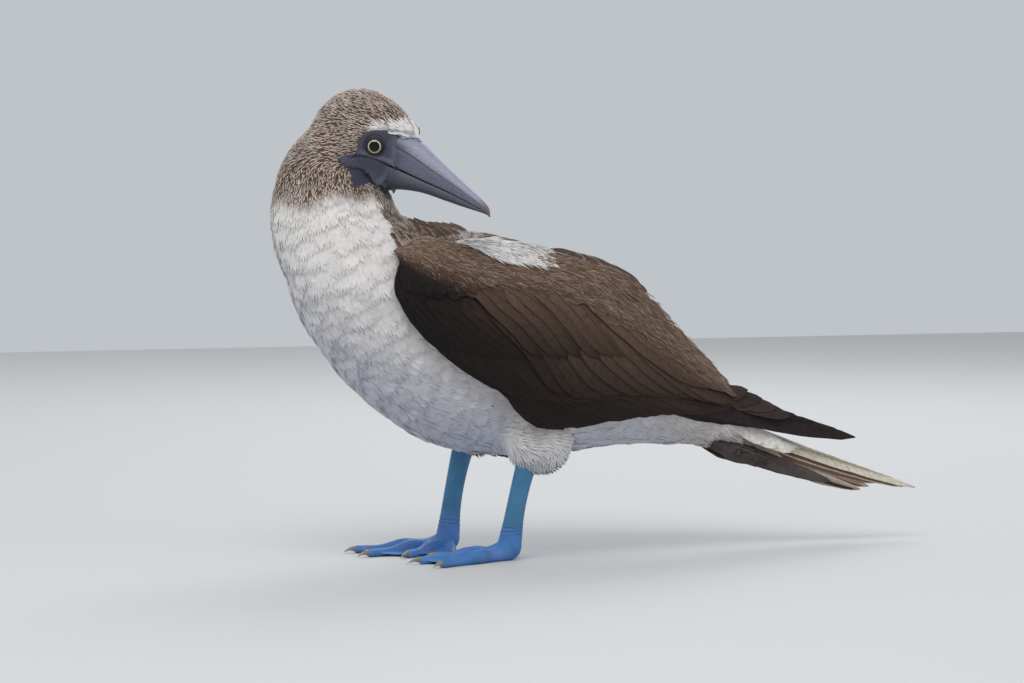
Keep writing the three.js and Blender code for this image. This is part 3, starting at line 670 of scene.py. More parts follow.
def makeHeadCoat(material):
    def keep(middles, normals):
        onHead = (toHead(middles)[:, 0] > -12) & (middles[:, 2] > 322)
        return ((brownOf(middles) > 0.02) & (middles[:, 2] > 262) | onHead) & (bareness(middles) < -0.2)
    roots, normals = scatter(skinTris, coat["headSpacing"], 11, keep)
    rng = np.random.default_rng(12)
    count = len(roots)
    brown = np.maximum(brownOf(roots), (rng.random(count) < brownOf(roots)).astype(float) * 0.9)
    front = smooth(-20, 25, toHead(roots)[:, 0])
    low = smooth(310, 275, roots[:, 2])
    lengths = coat["headLength"] * rng.uniform(0.8, 1.25, count) * (1 - 0.4 * front) * (1 + 0.6 * low)
    widths = coat["headWidth"] * rng.uniform(0.8, 1.2, count) * (1 - 0.2 * front)
    clump = 1 + 0.16 * ripple(roots, 7, 14)
    dark = plumage["streak"] * (rng.uniform(0.55, 1.1, count) * clump)[:, None]
    pale = plumage["tip"] * (rng.uniform(0.72, 1.05, count) * clump)[:, None]
    white = plumage["white"] * rng.uniform(0.92, 1.0, count)[:, None]
    paleShare = rng.random(count) < coat["paleShare"]
    tips = blend(dark * 1.5, pale, paleShare.astype(float))
    lifts = coat["headLift"] * (0.35 + 0.65 * brown) * rng.uniform(0.7, 1.3, count)
    ways = lieOf(roots, normals)
    rootColours, tipColours = blend(white, dark, brown), blend(white, tips, brown)
    for name, side in (("Left", toHead(roots)[:, 1] >= 0), ("Right", toHead(roots)[:, 1] < 0)):
        heap = Heap()
        addBlades(heap, roots[side], normals[side], ways[side], lengths[side], widths[side], lifts[side],
                  rootColours[side], tipColours[side], seed=13)
        finishPiece(heap.make("headCoat" + name, material), "head_plumage")
    print("head coat:", count, "feathers")


def makeBodyCoat(material):
    def keepBody(middles, normals):
        pale = (brownOf(middles) < 0.4) & (mantleOf(middles, normals) * (1 - whitePatchOf(middles)) < 0.6)
        return pale & (bareness(middles) < -0.5)
    roots, normals = scatter(skinTris, coat["bodySpacing"], 31, keepBody)
    shades = np.random.default_rng(32).uniform(0.95, 1.03, len(roots))
    parts = {"Left": roots[:, 1] < 0, "Right": roots[:, 1] >= 0}
    for name, chosen in parts.items():
        heap = Heap()
        for blade in range(coat["bladesPerTuft"]):
            rng = np.random.default_rng(40 + blade)
            here, out = roots[chosen], normals[chosen]
            count = len(here)
            ways = lieOf(here, out)
            spread = (blade - (coat["bladesPerTuft"] - 1) / 2) / ((coat["bladesPerTuft"] - 1) / 2)
            sides = unit(np.cross(ways, out))
            start = here + sides * (spread * 2.6) + ways * rng.uniform(-0.5, 0.5, count)[:, None]
            lengths = coat["bodyLength"] * rng.uniform(0.88, 1.1, count) * (1 - 0.16 * spread * spread)
            thigh = smooth(112, 95, here[:, 2]) * smooth(40, 20, np.abs(here[:, 0] - 55))
            thigh = thigh * smooth(24, 32, np.abs(here[:, 1]))
            lifts = coat["bodyLift"] * rng.uniform(0.5, 1.5, count) * (1 + 1.2 * thigh)
            mottle = (1 + 0.05 * ripple(here, 10, 15)) * shades[chosen]
            colour = skinColour(here, out) * mottle[:, None]
            tip = np.minimum(colour * 1.04, 0.9)
            widths = coat["bodyWidth"] * rng.uniform(0.8, 1.15, count) * (1 - 0.3 * thigh)
            addBlades(heap, start, out, unit(ways + sides * spread * 0.3), lengths * (1 + 0.3 * thigh),
                      widths, lifts, colour * 0.96, tip, seed=50 + blade, ridge=0.045, stray=0.05)
        piece = heap.make("bodyCoat" + name, material)
        finishPiece(piece, "pale_plumage")
    print("body coat:", len(roots), "tufts")


plumeMaterial = plumageMaterial("softPlumage", roughness=0.88, sheen=0.3)
makeHeadCoat(plumageMaterial("streakedPlumage", roughness=0.85, sheen=0.25, darkest=0.88, lightest=1.1))
makeBodyCoat(plumeMaterial)


# Feathers with a shaft and vanes.

vaneShape = {"across": (-1, -0.84, -0.45, -0.06, 0, 0.06, 0.45, 0.84, 1), "rows": 11, "thick": 0.5,
             "roof": 0.9}


def addFeather(heap, path, normals, half, colours, tilt=0.0, point=0.35, root=0.45, rows=None,
               across=None, lean=0.0, rng=None, roof=None, under=None):
    # colours: root, tip, edge and shaft; lean makes one vane narrower than the other, and under is the
    # lower vane's tone
    rows = rows or vaneShape["rows"]
    across = np.array(across or vaneShape["across"], float)
    share = np.linspace(0, 1, rows)
    path = along(path, share)
    normals = unit(along(normals, share))
    ahead = unit(np.gradient(path, axis=0))
    side = unit(np.cross(ahead, normals))
    up = np.cross(side, ahead)
    body = np.minimum(1, root + (1 - root) * share / 0.28)
    end = np.sqrt(np.clip(1 - np.clip((share - (1 - point)) / point, 0, 1) ** 2, 0.004, 1))
    wide = half * body * end
    if rng is not None:
        wide = wide * (1 + rng.normal(0, 0.035, rows))
    lengths = np.concatenate([[0], np.cumsum(np.linalg.norm(np.diff(path, axis=0), axis=1))])
    reach = across[None] * wide[:, None] * (1 + lean * np.sign(across))[None]
    roof = vaneShape["roof"] if roof is None else roof
    drop = roof * (wide / half)[:, None] * np.abs(across[None]) ** 1.4
    rise = tilt * reach - drop + 0.22 * (np.abs(across) < 0.03)[None]
    upper = path[:, None] + side[:, None] * reach[..., None] + up[:, None] * rise[..., None]
    lower = upper - up[:, None] * vaneShape["thick"]
    columns = len(across)
    index = np.arange(rows * columns).reshape(rows, columns)
    top = np.stack([index[:-1, :-1], index[:-1, 1:], index[1:, 1:], index[1:, :-1]], axis=-1).reshape(-1, 4)
    bottom = (top + rows * columns)[:, ::-1]
    rim = np.concatenate([index[0, :], index[1:, -1], index[-1, -2::-1], index[-2:0:-1, 0]])
    rimUnder = rim + rows * columns
    walls = np.stack([np.roll(rim, -1), rim, rimUnder, np.roll(rimUnder, -1)], axis=-1)
    quads = np.concatenate([top, bottom, walls])
    points = np.concatenate([upper.reshape(-1, 3), lower.reshape(-1, 3)])
    centre = points.mean(0)
    quads, _ = outward(points - centre, quads, np.zeros((0, 3), int))
    rootTone, tipTone, edgeTone, shaftTone = (np.asarray(c, float) for c in colours)
    tones = blend(rootTone, tipTone, np.repeat(share[:, None], columns, axis=1))
    if under is not None:
        tones = blend(tones, under, np.repeat((across > 0.1)[None].astype(float), rows, axis=0))
    edge = np.maximum((np.abs(across) > 0.9)[None] * (share > 0.15)[:, None],
                      (share > 0.97)[:, None] * np.ones(columns)[None])
    tones = blend(tones, edgeTone, edge)
    tones = blend(tones, shaftTone, (np.abs(across) < 0.03)[None] * np.ones(rows)[:, None])
    tones = np.tile(tones.reshape(-1, 3), (2, 1))
    barb = np.tile((lengths[:, None] - np.abs(reach)).ravel(), 2)
    patch = np.stack([np.repeat((across[None] + 1) / 2, rows, axis=0),
                      np.repeat(share[:, None], columns, axis=1)], axis=-1)
    heap.add(points, quads, [], tones, barb, np.tile(patch.reshape(-1, 2), (2, 1)))


def layPatches(heap):  # each feather's patch in its own cell of a square sheet
    cells = math.ceil(math.sqrt(len(heap.patches)))
    for i, patch in enumerate(heap.patches):
        corner = np.array([i % cells, i // cells])
        heap.patches[i] = (corner + 0.06 + 0.88 * patch) / cells


# The wings.

wing = {
    "topX": [-67, -42, 18, 82, 139, 194, 246],
    "topY": [-52, -51, -48, -42, -34, -24, -12],
    "topZ": [256, 264, 252, 246, 227, 178, 129],
    "lowX": [-73, -69, -40, 14, 60, 150, 236],
    "lowY": [-56, -67, -71, -72, -69, -54, -28],
    "lowZ": [246, 205, 170, 137, 110, 113, 118],
    "bulge": [7, 14, 18, 21, 22, 16, 7],
}
wingTones = {
    "warm": tone(110, 88, 74),
    "brown": tone(76, 59, 50),
    "dark": tone(45, 36, 32),
    "blackAndShade": tone(30, 25, 24),
    "buff": tone(184, 160, 138),
}
# Rows of feathers: roots and tips as shares along and across the wing, from the first feather to the last.
wingRows = [
    {"count": 15, "root": [(0.3, 0.78), (0.62, 0.34)], "tip": [(0.67, 0.995), (0.995, 0.8)],
     "half": (10, 10), "lift": 0.6},
    {"count": 12, "root": [(0.1, 0.74), (0.46, 0.3)], "tip": [(0.52, 0.94), (0.85, 0.64)],
     "half": (10, 11), "lift": 1.6},
    {"count": 11, "root": [(0.04, 0.66), (0.34, 0.34)], "tip": [(0.34, 0.88), (0.6, 0.6)],
     "half": (10, 10), "lift": 2.2},
    {"count": 10, "root": [(0.33, 0.4), (0.6, 0.1)], "tip": [(0.64, 0.8), (1.0, 0.52)], "half": (11, 11),
     "lift": 3.4},
    {"count": 7, "root": [(0.29, 0.3), (0.44, 0.12)], "tip": [(0.53, 0.66), (0.72, 0.44)],
     "half": (10, 10), "lift": 4.4},
    {"count": 6, "root": [(0.5, 0.16), (0.66, 0.0)], "tip": [(0.92, 0.44), (1.01, 0.16)], "half": (9, 8),
     "lift": 5.0},
]


def wingPlace(share, across, out):  # points and outward directions of the left wing's outer face
    share, across, out = np.broadcast_arrays(np.asarray(share, float), np.asarray(across, float),
                                             np.asarray(out, float))

    def surface(s, t):
        top = np.stack([along(wing["topX"], s), along(wing["topY"], s), along(wing["topZ"], s)], axis=-1)
        low = np.stack([along(wing["lowX"], s), along(wing["lowY"], s), along(wing["lowZ"], s)], axis=-1)
        point = blend(top, low, t)
        point[..., 1] -= along(wing["bulge"], s) * 4 * t * (1 - t)
        return point
    here = surface(share, across)
    normal = unit(np.cross(surface(share, across + 0.01) - here, surface(share + 0.01, across) - here))
    return here + normal * out[..., None], normal


def wingTone(share, across):
    # darker down the wing and towards its front and lower edge: partly the darker secondaries and greater
    # coverts, partly painted shade where the folded wing turns under
    front = smooth(0.62, 0.4, share)
    low = smooth(0.22, 0.62, across)
    base = blend(wingTones["warm"], wingTones["brown"], smooth(0.1, 0.45, across))
    base = blend(base, wingTones["dark"], low * smooth(0.2, 0.55, across))
    return blend(base, wingTones["blackAndShade"],
                 np.clip(front * smooth(0.3, 0.5, across) + 0.6 * smooth(0.75, 1, across), 0, 1))


def between(ends, share):
    return np.array(ends[0]) * (1 - share) + np.array(ends[1]) * share


def layRow(heap, row, rng, mirrored):
    for i in range(row["count"]):
        share = i / (row["count"] - 1)
        root = between(row["root"], share) + rng.normal(0, 0.004, 2)
        tip = between(row["tip"], share) + rng.normal(0, 0.006, 2)
        half = between(row["half"], share)
        steps = np.linspace(0, 1, 6)
        lift = row["lift"] * np.minimum(1, steps * 5) - 1.5 * (steps < 0.1)
        place, normal = wingPlace(root[0] + (tip[0] - root[0]) * steps,
                                  root[1] + (tip[1] - root[1]) * steps, lift)
        shade = wingTone(tip[0], tip[1]) * rng.uniform(0.88, 1.14)
        start = wingTone(root[0], root[1]) * rng.uniform(0.92, 1.08)
        edge = shade * (1.25 + 0.5 * smooth(0.6, 1, tip[0])) + 0.002
        addWingFeather(heap, place, normal, half, (start, shade, edge, shade * 0.7), mirrored,
                       tilt=0.08, point=0.32, rng=rng)


def addWingFeather(heap, place, normal, half, colours, mirrored, tilt, point, rng, **more):
    if mirrored:
        place, normal = place * [1, -1, 1], normal * [1, -1, 1]
        tilt = -tilt
    addFeather(heap, place, normal, half, colours, tilt=tilt, point=point, rng=rng, **more)


coverts = {
    "rows": 19, "columns": 27, "length": 25, "half": 6.6, "lift": 2.6,
    "fuzz": 6500, "fuzzLength": 8.5, "fuzzWidth": 0.8, "fuzzLift": 0.07, "fringe": 420,
}


def covertLimit(share):  # how far down the wing the small feathers reach
    return 0.24 + 0.5 * smooth(0.42, 0.05, share) * smooth(-0.1, 0.12, share)


def covertHeight(share):
    return coverts["lift"] + 2.4 * smooth(0.25, 0.5, share)


def covertStep(share, across, length):  # how far a feather runs along and across the wing
    slant = 0.35 + 0.9 * across * smooth(0.5, 0.1, share)
    return length / 390, length / 150 * 0.5 * slant


def layCoverts(heap, rng, mirrored):  # small feathers over the shoulder, smallest at the wrist
    small = (-1, -0.5, 0, 0.5, 1)
    for column in range(coverts["columns"]):
        for row in range(coverts["rows"]):
            s = 0.93 * (coverts["columns"] - 1 - column) / (coverts["columns"] - 1) + rng.normal(0, 0.005)
            t = 0.015 + 0.95 * (row + 0.5 * (column % 2)) / coverts["rows"] + rng.normal(0, 0.006)
            if t > covertLimit(s) + rng.normal(0, 0.02) or s < 0:
                continue
            size = 0.5 + 0.55 * smooth(0.0, 0.6, s)
            steps = np.linspace(0, 1, 4)
            ds, dt = covertStep(s, t, coverts["length"] * size)
            lift = covertHeight(s) + 0.7 * steps - 2.6 * (steps < 0.1)
            place, normal = wingPlace(s + ds * steps, t + dt * steps, lift)
            base = wingTone(s, t) * rng.uniform(0.84, 1.14)
            edge = blend(base * 1.15, wingTones["buff"], 0.4 * smooth(0.3, 0.5, s) * rng.random())
            addWingFeather(heap, place, normal, coverts["half"] * size,
                           (base * 0.9, base, edge, base * 0.85), mirrored,
                           tilt=0.04, point=0.5, rng=rng, rows=5, across=small, roof=0.4)


def makeWingFuzz(name, mirrored, material):  # the hair-like ends of the small feathers
    rng = np.random.default_rng(75)
    s = rng.random(coverts["fuzz"] * 3) * 0.97 - 0.02
    t = rng.random(len(s)) * 0.8 - 0.02
    kept = np.flatnonzero(t < covertLimit(s) - 0.04 * rng.random(len(s)) + 0.02)[: coverts["fuzz"]]
    s, t = s[kept], t[kept]
    height = covertHeight(s) + 0.55
    place, normal = wingPlace(s, t, height)
    ds, dt = covertStep(s, t, 8.0)
    ahead, _ = wingPlace(s + ds, t + dt, height)
    count = len(s)
    size = 0.6 + 0.55 * smooth(0, 0.4, s)
    base = wingTone(s, t) * rng.uniform(0.8, 1.2, count)[:, None]
    pale = (rng.random(count) < 0.4 * smooth(0.45, 0.15, t)).astype(float) * rng.uniform(0.35, 0.8, count)
    tips = blend(base * 1.15, wingTones["buff"], pale)
    flip = np.array([1, -1 if mirrored else 1, 1])
    heap = Heap()
    addBlades(heap, place * flip, normal * flip, unit(ahead - place) * flip,
              coverts["fuzzLength"] * size * rng.uniform(0.7, 1.3, count),
              coverts["fuzzWidth"] * rng.uniform(0.8, 1.2, count),
              coverts["fuzzLift"] * rng.uniform(0.4, 1.8, count), base, tips,
              seed=76, ridge=0.25, stray=0.3, bake=np.stack([0.02 + 0.9 * s, 0.05 + 0.9 * t], axis=-1))
    fringe = fringeBlades(heap, rng, flip)
    finishPiece(heap.make("wing" + name.capitalize() + "Down", material), "wing_feathers")
    print("wing down", name, count + fringe, "blades")


def fringeBlades(heap, rng, flip):  # a pale fine fringe along the front of the wing's upper edge
    count = coverts["fringe"]
    s = rng.random(count) * 0.34
    place, normal = wingPlace(s, rng.uniform(-0.02, 0.015, count), 1.5)
    ahead, _ = wingPlace(s + 0.03, 0.0, 1.5)
    ways = unit(unit(ahead - place) + np.array([0, 0.1, 0.35]))
    tones = blend(wingTones["warm"], plumage["mantleTip"], rng.uniform(0.3, 1, count))
    addBlades(heap, place * flip, normal * flip, ways * flip, rng.uniform(5, 9, count),
              np.full(count, 0.7), np.full(count, 0.1), tones * 0.8, tones, seed=77, ridge=0.25,
              stray=0.25, bake=np.stack([0.02 + 0.9 * s, np.full(count, 0.97)], axis=-1))
    return count


primaries = {  # folded behind the wing, on edge, the long ones under the short ones
    "long": {"count": 5, "start": (0.7, 0.62), "bend": (262, -20, 113), "tip": (364, -8.5, 90.5),
             "back": (20, 0.6, -5.6), "rise": 1.7, "half": 8.4, "tone": tone(44, 36, 36)},
    "short": {"count": 4, "start": (0.72, 0.42), "bend": (246, -23, 129), "tip": (298, -19, 111),
              "back": (14, 0.6, -6), "rise": 2.0, "half": 8.6, "tone": tone(66, 54, 51)},
}


def layPrimaries(heap, rng, mirrored):
    for group in primaries.values():
        for i in reversed(range(group["count"])):
            start, normal = wingPlace(group["start"][0], group["start"][1], -6.0 - 0.5 * i)
            step = np.array([0, -0.7, group["rise"]])
            tip = np.array(group["tip"], float) - np.array(group["back"]) * i + step * i
            step = np.array([-0.6 * group["back"][0], -0.7, group["rise"] * 0.8])
            bend = np.array(group["bend"], float) + step * i
            place = np.stack([start, (start + bend) / 2 - [0, 2.5, 0], bend, (bend + tip) / 2, tip])
            out = unit(np.array([0.05, -0.93, 0.36]))
            normals = unit(np.stack([normal, normal * 0.6 + out * 0.4, out, out, out]))
            base = group["tone"] * rng.uniform(0.85, 1.2)
            addWingFeather(heap, place, normals, group["half"],
                           (base, base * 0.9, base * 1.35, base * 0.6), mirrored,
                           tilt=0.0, point=0.5, rng=rng, rows=16, lean=0.2)


def makeWing(name, mirrored, material):
    rng = np.random.default_rng(71)
    heap = Heap()
    layPrimaries(heap, rng, mirrored)
    for row in wingRows:
        layRow(heap, row, rng, mirrored)
    layCoverts(heap, rng, mirrored)
    bodyShape(heap, mirrored)
    layPatches(heap)
    piece = heap.make("wing" + name.capitalize() + "Feathers", material)
    finishPiece(piece, "wing_feathers", "wing_" + name)
    print("wing", name, len(heap.points), "feathers")
    makeWingFuzz(name, mirrored, fuzzMaterial)


def bodyShape(heap, mirrored):  # the dark arm of the wing under its feathers
    s, t = np.meshgrid(np.linspace(0.02, 0.9, 24), np.linspace(0.03, 0.93, 12), indexing="ij")
    t = t * (1 - 0.14 * s)
    upper, _ = wingPlace(s, t, -1.6)
    inner, _ = wingPlace(s, t, -1.6 - 16 * np.sin(math.pi * np.clip(s * 1.05, 0.05, 0.95))
                         * np.sin(math.pi * np.clip(t, 0.06, 0.94)) ** 0.5)
    rings = np.concatenate([upper, inner[:, ::-1]], axis=1)
    if mirrored:
        rings = rings * [1, -1, 1]
    points, quads, tris = tube(rings)
    quads, tris = outward(points - points.mean(0), quads, tris)
    heap.add(points, quads, tris, np.tile(wingTones["dark"], (len(points), 1)))


featherMaterial = vaneMaterial("wingFeather", roughness=0.7, barbPitch=1.3)
fuzzMaterial = plumageMaterial("wingDown", roughness=0.92, sheen=0.05)
makeWing("left", False, featherMaterial)
makeWing("right", True, featherMaterial)


# Mantle and scapulars over the back, and the white down beside them.

mantle = {"spacing": 6.4, "length": 21.0, "half": 5.4, "lift": 1.8}


def makeMantle(material):
    def keep(middles, normals):
        return mantleOf(middles, normals) * (1 - whitePatchOf(middles)) > 0.5
    roots, normals = scatter(skinTris, mantle["spacing"], 61, keep)
    rng = np.random.default_rng(62)
    ways = lieOf(roots, normals)
    order = np.argsort(-roots[:, 0])
    heap = Heap()
    for i in order:
        size = 0.45 + 0.75 * smooth(-55, 40, roots[i, 0])
        length = mantle["length"] * size * rng.uniform(0.85, 1.15)
        way, normal = ways[i], normals[i]
        side = np.cross(way, normal)
        way = unit(way + side * rng.normal(0, 0.12))
        steps = np.array([0, 0.35, 0.7, 1.0])
        lift = np.array([-0.8, 0.9, 1.4, 1.5]) * mantle["lift"] * (0.6 + 0.5 * size)
        rise = lift - 0.004 * (steps * length) ** 2
        place = roots[i] + way * (steps * length)[:, None] + normal * rise[:, None]
        base = plumage["mantle"] * rng.uniform(0.72, 1.15)
        edge = blend(base, plumage["mantleTip"], rng.uniform(0.35, 0.95))
        addFeather(heap, place, np.tile(normal, (4, 1)), mantle["half"] * size,
                   (base * 0.8, base, edge, base * 0.75),
                   point=0.5, rows=7, across=(-1, -0.78, -0.3, 0, 0.3, 0.78, 1), rng=rng)
    layPatches(heap)
    piece = heap.make("mantleFeathers", material)
    finishPiece(piece, "wing_feathers")
    print("mantle:", len(roots), "feathers")


makeMantle(featherMaterial)


# The white down between the mantle and the wing, and the barred feathers behind it.

down = {"from": -16.0, "to": 66.0, "count": 3000, "length": 13.0, "width": 1.5}
scapulars = [  # root and tip over the back, half width, and how strongly the tip is edged with cream
    ((52, -30, 252), (88, -38, 250), 9, 0.9), ((60, -22, 256), (98, -30, 252), 9, 0.9),
    ((56, -38, 248), (92, -44, 243), 8, 0.6), ((76, -20, 254), (114, -28, 248), 9, 0.7),
    ((74, -32, 249), (112, -39, 242), 9, 0.4), ((92, -16, 251), (132, -24, 243), 10, 0.3),
    ((94, -28, 246), (134, -34, 237), 9, 0.2), ((110, -10, 246), (152, -18, 236), 10, 0.2),
    ((112, -22, 243), (154, -29, 230), 9, 0.1),
]
scapularShift, scapularDroop = (7, 0, -1.0), 2.5


def downPlace(x, across):  # a sheet from the mantle's edge over the top of the wing
    inner = np.stack([x, np.interp(x, [-16, 20, 66], [-42, -28, -25]),
                      np.interp(x, [-16, 20, 66], [263, 265, 256])], axis=-1)
    edge = np.stack([x, np.interp(x, [-42, 18, 82], [-57, -57, -52]),
                     np.interp(x, [-42, 18, 82], [260, 249, 242])], axis=-1)
    point = blend(inner, edge, across)
    point[:, 2] += 1.2 + (3.5 + 2.5 * smooth(15, 45, x)) * np.sin(math.pi * np.clip(across, 0, 1))
    return point


def makeDown(material):
    for name, flip in (("Left", [1, 1, 1]), ("Right", [1, -1, 1])):
        rng = np.random.default_rng(91)
        count = down["count"]
        share = rng.random(count) ** 0.7
        x = down["from"] + (down["to"] - down["from"]) * share
        across = rng.random(count)
        across = 0.25 + (across - 0.25) * (0.35 + 0.65 * smooth(0, 0.45, share))
        roots = downPlace(x, across)
        normals = unit(np.cross(downPlace(x + 1, across) - roots, downPlace(x, across + 0.02) - roots))
        normals = normals * np.sign(normals[:, 2:3])
        ways = unit(unit(downPlace(x + 1, across) - roots) + unit(downPlace(x, across + 0.02) - roots)
                    * (0.25 + 0.5 * across)[:, None])
        tones = plumage["white"] * rng.uniform(0.9, 1.02, count)[:, None]
        heap = Heap()
        base = np.stack([0.02 + 0.95 * share, 0.02 + 0.95 * across], axis=-1)
        addBlades(heap, roots * flip, normals * flip, ways * flip,
                  down["length"] * rng.uniform(0.6, 1.2, count) * (1 - 0.35 * (x > 56)),
                  down["width"] * rng.uniform(0.6, 1.2, count), rng.uniform(0.02, 0.12, count),
                  tones * 0.95, tones, seed=92, ridge=0.12, stray=0.14, bake=base)
        finishPiece(heap.make("whiteDown" + name, material), "pale_plumage")


def makeScapulars(material):
    rng = np.random.default_rng(95)
    heap = Heap()
    for mirrored in (False, True):
        for root, tip, half, cream in reversed(scapulars):
            flip = np.array([1, -1 if mirrored else 1, 1])
            root, tip = (np.array(root) + scapularShift) * flip, (np.array(tip) + scapularShift) * flip
            tip[2] -= (0.3 if mirrored else 0.1) * max(tip[0] - 100, 0) + scapularDroop
            middle = (root + tip) / 2 + [0, 0, 1.2]
            lean = unit(np.array([0.12, -0.62, 0.78]) * flip)
            base = wingTones["brown"] * rng.uniform(0.8, 1.1)
            edge = blend(base * 1.2, plumage["tip"], cream)
            addFeather(heap, np.stack([root - [0, 0, 2], middle, tip]), np.tile(lean, (3, 1)), half,
                       (base * 0.85, base, edge, base * 0.8),
                       point=0.5, rows=14, across=(-1, -0.86, -0.84, -0.4, 0, 0.4, 0.84, 0.86, 1), rng=rng)
    layPatches(heap)
    finishPiece(heap.make("shoulderFeathers", material), "wing_feathers")


makeDown(plumeMaterial)
makeScapulars(featherMaterial)
print("down and shoulder feathers made")


# The tail.

tail = {
    "root": (256, 0, 96), "slope": 17.5,
    # for each pair: root and tip ahead, aside and above the tail's line, half width and lean from level
    "pairs": [
        ((0, 2.5, 6), (176, 3.5, 1.5), 7.5, 38), ((-2, 4.5, 3.5), (164, 5, -1), 8, 50),
        ((-6, 7, 1), (138, 7, -4.5), 8.5, 58), ((-12, 9.5, -3), (130, 8.5, -10), 8, 64),
        ((-16, 12, -6), (122, 10.5, -15), 8.5, 70), ((-20, 14.5, -11), (92, 12.5, -16), 7, 76),
    ],
}
tailTones = {"cream": tone(218, 208, 192), "pink": tone(190, 172, 160), "brown": tone(104, 80, 64),
             "dark": tone(46, 38, 36), "grey": tone(84, 76, 74)}
tailVanes = [("cream", "cream"), ("cream", "brown"), ("brown", "brown"), ("pink", "brown"),
             ("pink", "dark"), ("grey", "grey")]


def tailAxes():  # along the tail's line, and up from it
    slope = math.radians(tail["slope"])
    ahead = np.array([math.cos(slope), 0, -math.sin(slope)])
    return ahead, np.array([math.sin(slope), 0, math.cos(slope)])


def tailPlace(forward, side, high):
    ahead, up = tailAxes()
    return np.array(tail["root"]) + ahead * forward + np.array([0, side, 0]) + up * high


def makeTail(material):
    rng = np.random.default_rng(81)
    heap = Heap()
    _, up = tailAxes()
    for (start, end, half, lean), (high, low) in zip(tail["pairs"], tailVanes):
        for sign in (-1, 1):
            root = tailPlace(start[0], sign * start[1], start[2])
            tip = tailPlace(end[0], sign * end[1], end[2])
            steps = np.linspace(0, 1, 5)[:, None]
            path = root + (tip - root) * steps - up * 1.5 * np.sin(steps * math.pi)
            turn = math.radians(lean)
            out = unit(up * math.cos(turn) + np.array([0, sign * math.sin(turn), 0]))
            upper = tailTones[high] * rng.uniform(0.95, 1.05)
            lower = tailTones[low] * rng.uniform(0.95, 1.05)
            if sign > 0:
                upper, lower = lower, upper
            edge = blend(upper, tailTones["cream"], 0.5 if high != "grey" else 0.0)
            addFeather(heap, path, np.tile(out, (5, 1)), half, (upper, upper, edge, lower * 0.6),
                       point=0.7, rows=18, under=lower, rng=rng)
    for face, tones in ((1, (plumage["white"], tailTones["cream"])),
                        (-1, (tailTones["grey"], tailTones["dark"]))):
        for level in range(3):
            for i in range(7):
                offset = (i - 3) / 3
                reach = ((64 if face > 0 else 42) - 20 * level) * (1 - 0.3 * abs(offset))
                drop = 2.4 * abs(offset) * 3
                root = tailPlace(-26 + 4 * level, offset * 15, face * (12 + level) - drop * 0.6)
                middle = tailPlace(reach * 0.4, offset * 17, face * (9.5 if face > 0 else 11) - drop)
                tip = tailPlace(reach, offset * 21, (7.0 - drop * 1.3) if face > 0 else -12.5 - drop * 0.6)
                path = np.stack([root, middle, tip])
                lean = unit(up * face + np.array([0, offset * 1.7, 0]))
                base = blend(tones[0], tones[1], rng.uniform(0.1, 0.7))
                edge = blend(base, tailTones["cream"], 0.5 if face > 0 else 0.08)
                addFeather(heap, path, np.tile(lean, (3, 1)), 7.5, (tones[0], base, edge, base * 0.9),
                           point=0.7, rows=9, rng=rng)
    layPatches(heap)
    piece = heap.make("tailFeathers", material)
    finishPiece(piece, "tail_feathers", "tail")
    print("tail feathers:", len(heap.points))


makeTail(vaneMaterial("tailFeather", roughness=0.6, barbPitch=1.5))


# The bare face with its lids.

face = {"around": 300, "along": 220, "from": -24.0, "to": 31.0, "lidRise": 1.15, "lidWidth": 2.0,
        "wall": 1.0, "cover": 0.3}
faceTones = {"slate": tone(60, 63, 78), "dark": tone(42, 44, 56), "fold": tone(100, 103, 117),
             "lid": tone(26, 28, 36)}
foldLine = [(30, -11.0), (22, -11.2), (12, -10.2), (2, -10.4), (-5, -12.4), (-9, -15.5)]
cheekEdge = [
    (40, 14.8), (15, 14.8), (16, 9), (19.5, 3), (22, -3), (22, -8), (25, -11), (21, -16), (19, -24),
    (18, -34), (18, -50), (40, -50),
]


def eyeAxis(sign):  # the way an eye looks, and its middle
    turn = math.radians(eye["forward"])
    axis = unit(np.array([math.sin(turn), sign * math.cos(turn), 0.06]))
    return axis, np.array([eye["ahead"], sign * eye["side"], 0.0])


def billRadius(x, angles):  # distance from the bill's middle to its surface, by angle, at each x
    share = np.interp(x, bill["x"], np.linspace(0, 1, len(bill["x"])))
    culmen, mouth, keel, half = (along(bill[key], share) for key in ("culmen", "mouth", "keel", "half"))
    upper, lower = np.array(upperHalf), np.array(lowerHalf[::-1])
    reach = np.zeros((len(x), len(angles)))
    centre = (culmen + keel) / 2
    for i in range(len(x)):
        side = np.concatenate([lower[:, 0], upper[:, 0]]) * half[i]
        high = np.concatenate([mouth[i] + (keel[i] - mouth[i]) * lower[:, 1],
                               mouth[i] + (culmen[i] - mouth[i]) * upper[:, 1]]) - centre[i]
        turn = np.arctan2(high, side)
        order = np.argsort(turn)
        folded = np.arcsin(np.sin(angles))
        reach[i] = np.interp(folded, turn[order], np.hypot(side, high)[order])
    return centre, reach


def overCheek(x, angles, middle, reach):
    # lets the face lie on the cheek where the neck swells beside the jaw
    for i in np.flatnonzero(x < 22):
        for j in np.flatnonzero(np.sin(angles) < 0.1):
            way = np.array([0, math.cos(angles[j]), math.sin(angles[j])])
            start = np.array([x[i], 0, middle[i]])
            hit = headSurface.ray_cast(Vector(start + way * (reach[i, j] + 20)), Vector(-way))
            if hit[0] is not None:
                level = float(np.dot(np.array(hit[0]) - start, way))
                blended = smooth(22, 12, x[i]) * smooth(0.1, -0.25, math.sin(angles[j]))
                reach[i, j] += max(level - reach[i, j], 0) * float(blended)
    cheek = smooth(20, 14, x)[:, None] * smooth(0.1, -0.1, np.sin(angles))[None]
    for _ in range(12):
        even = (np.roll(reach, 1, axis=1) + np.roll(reach, -1, axis=1) + 2 * reach) / 4
        even[1:-1] = (even[:-2] + even[2:] + 2 * even[1:-1]) / 4
        reach = reach * (1 - cheek) + even * cheek
    return reach + 0.5 * cheek


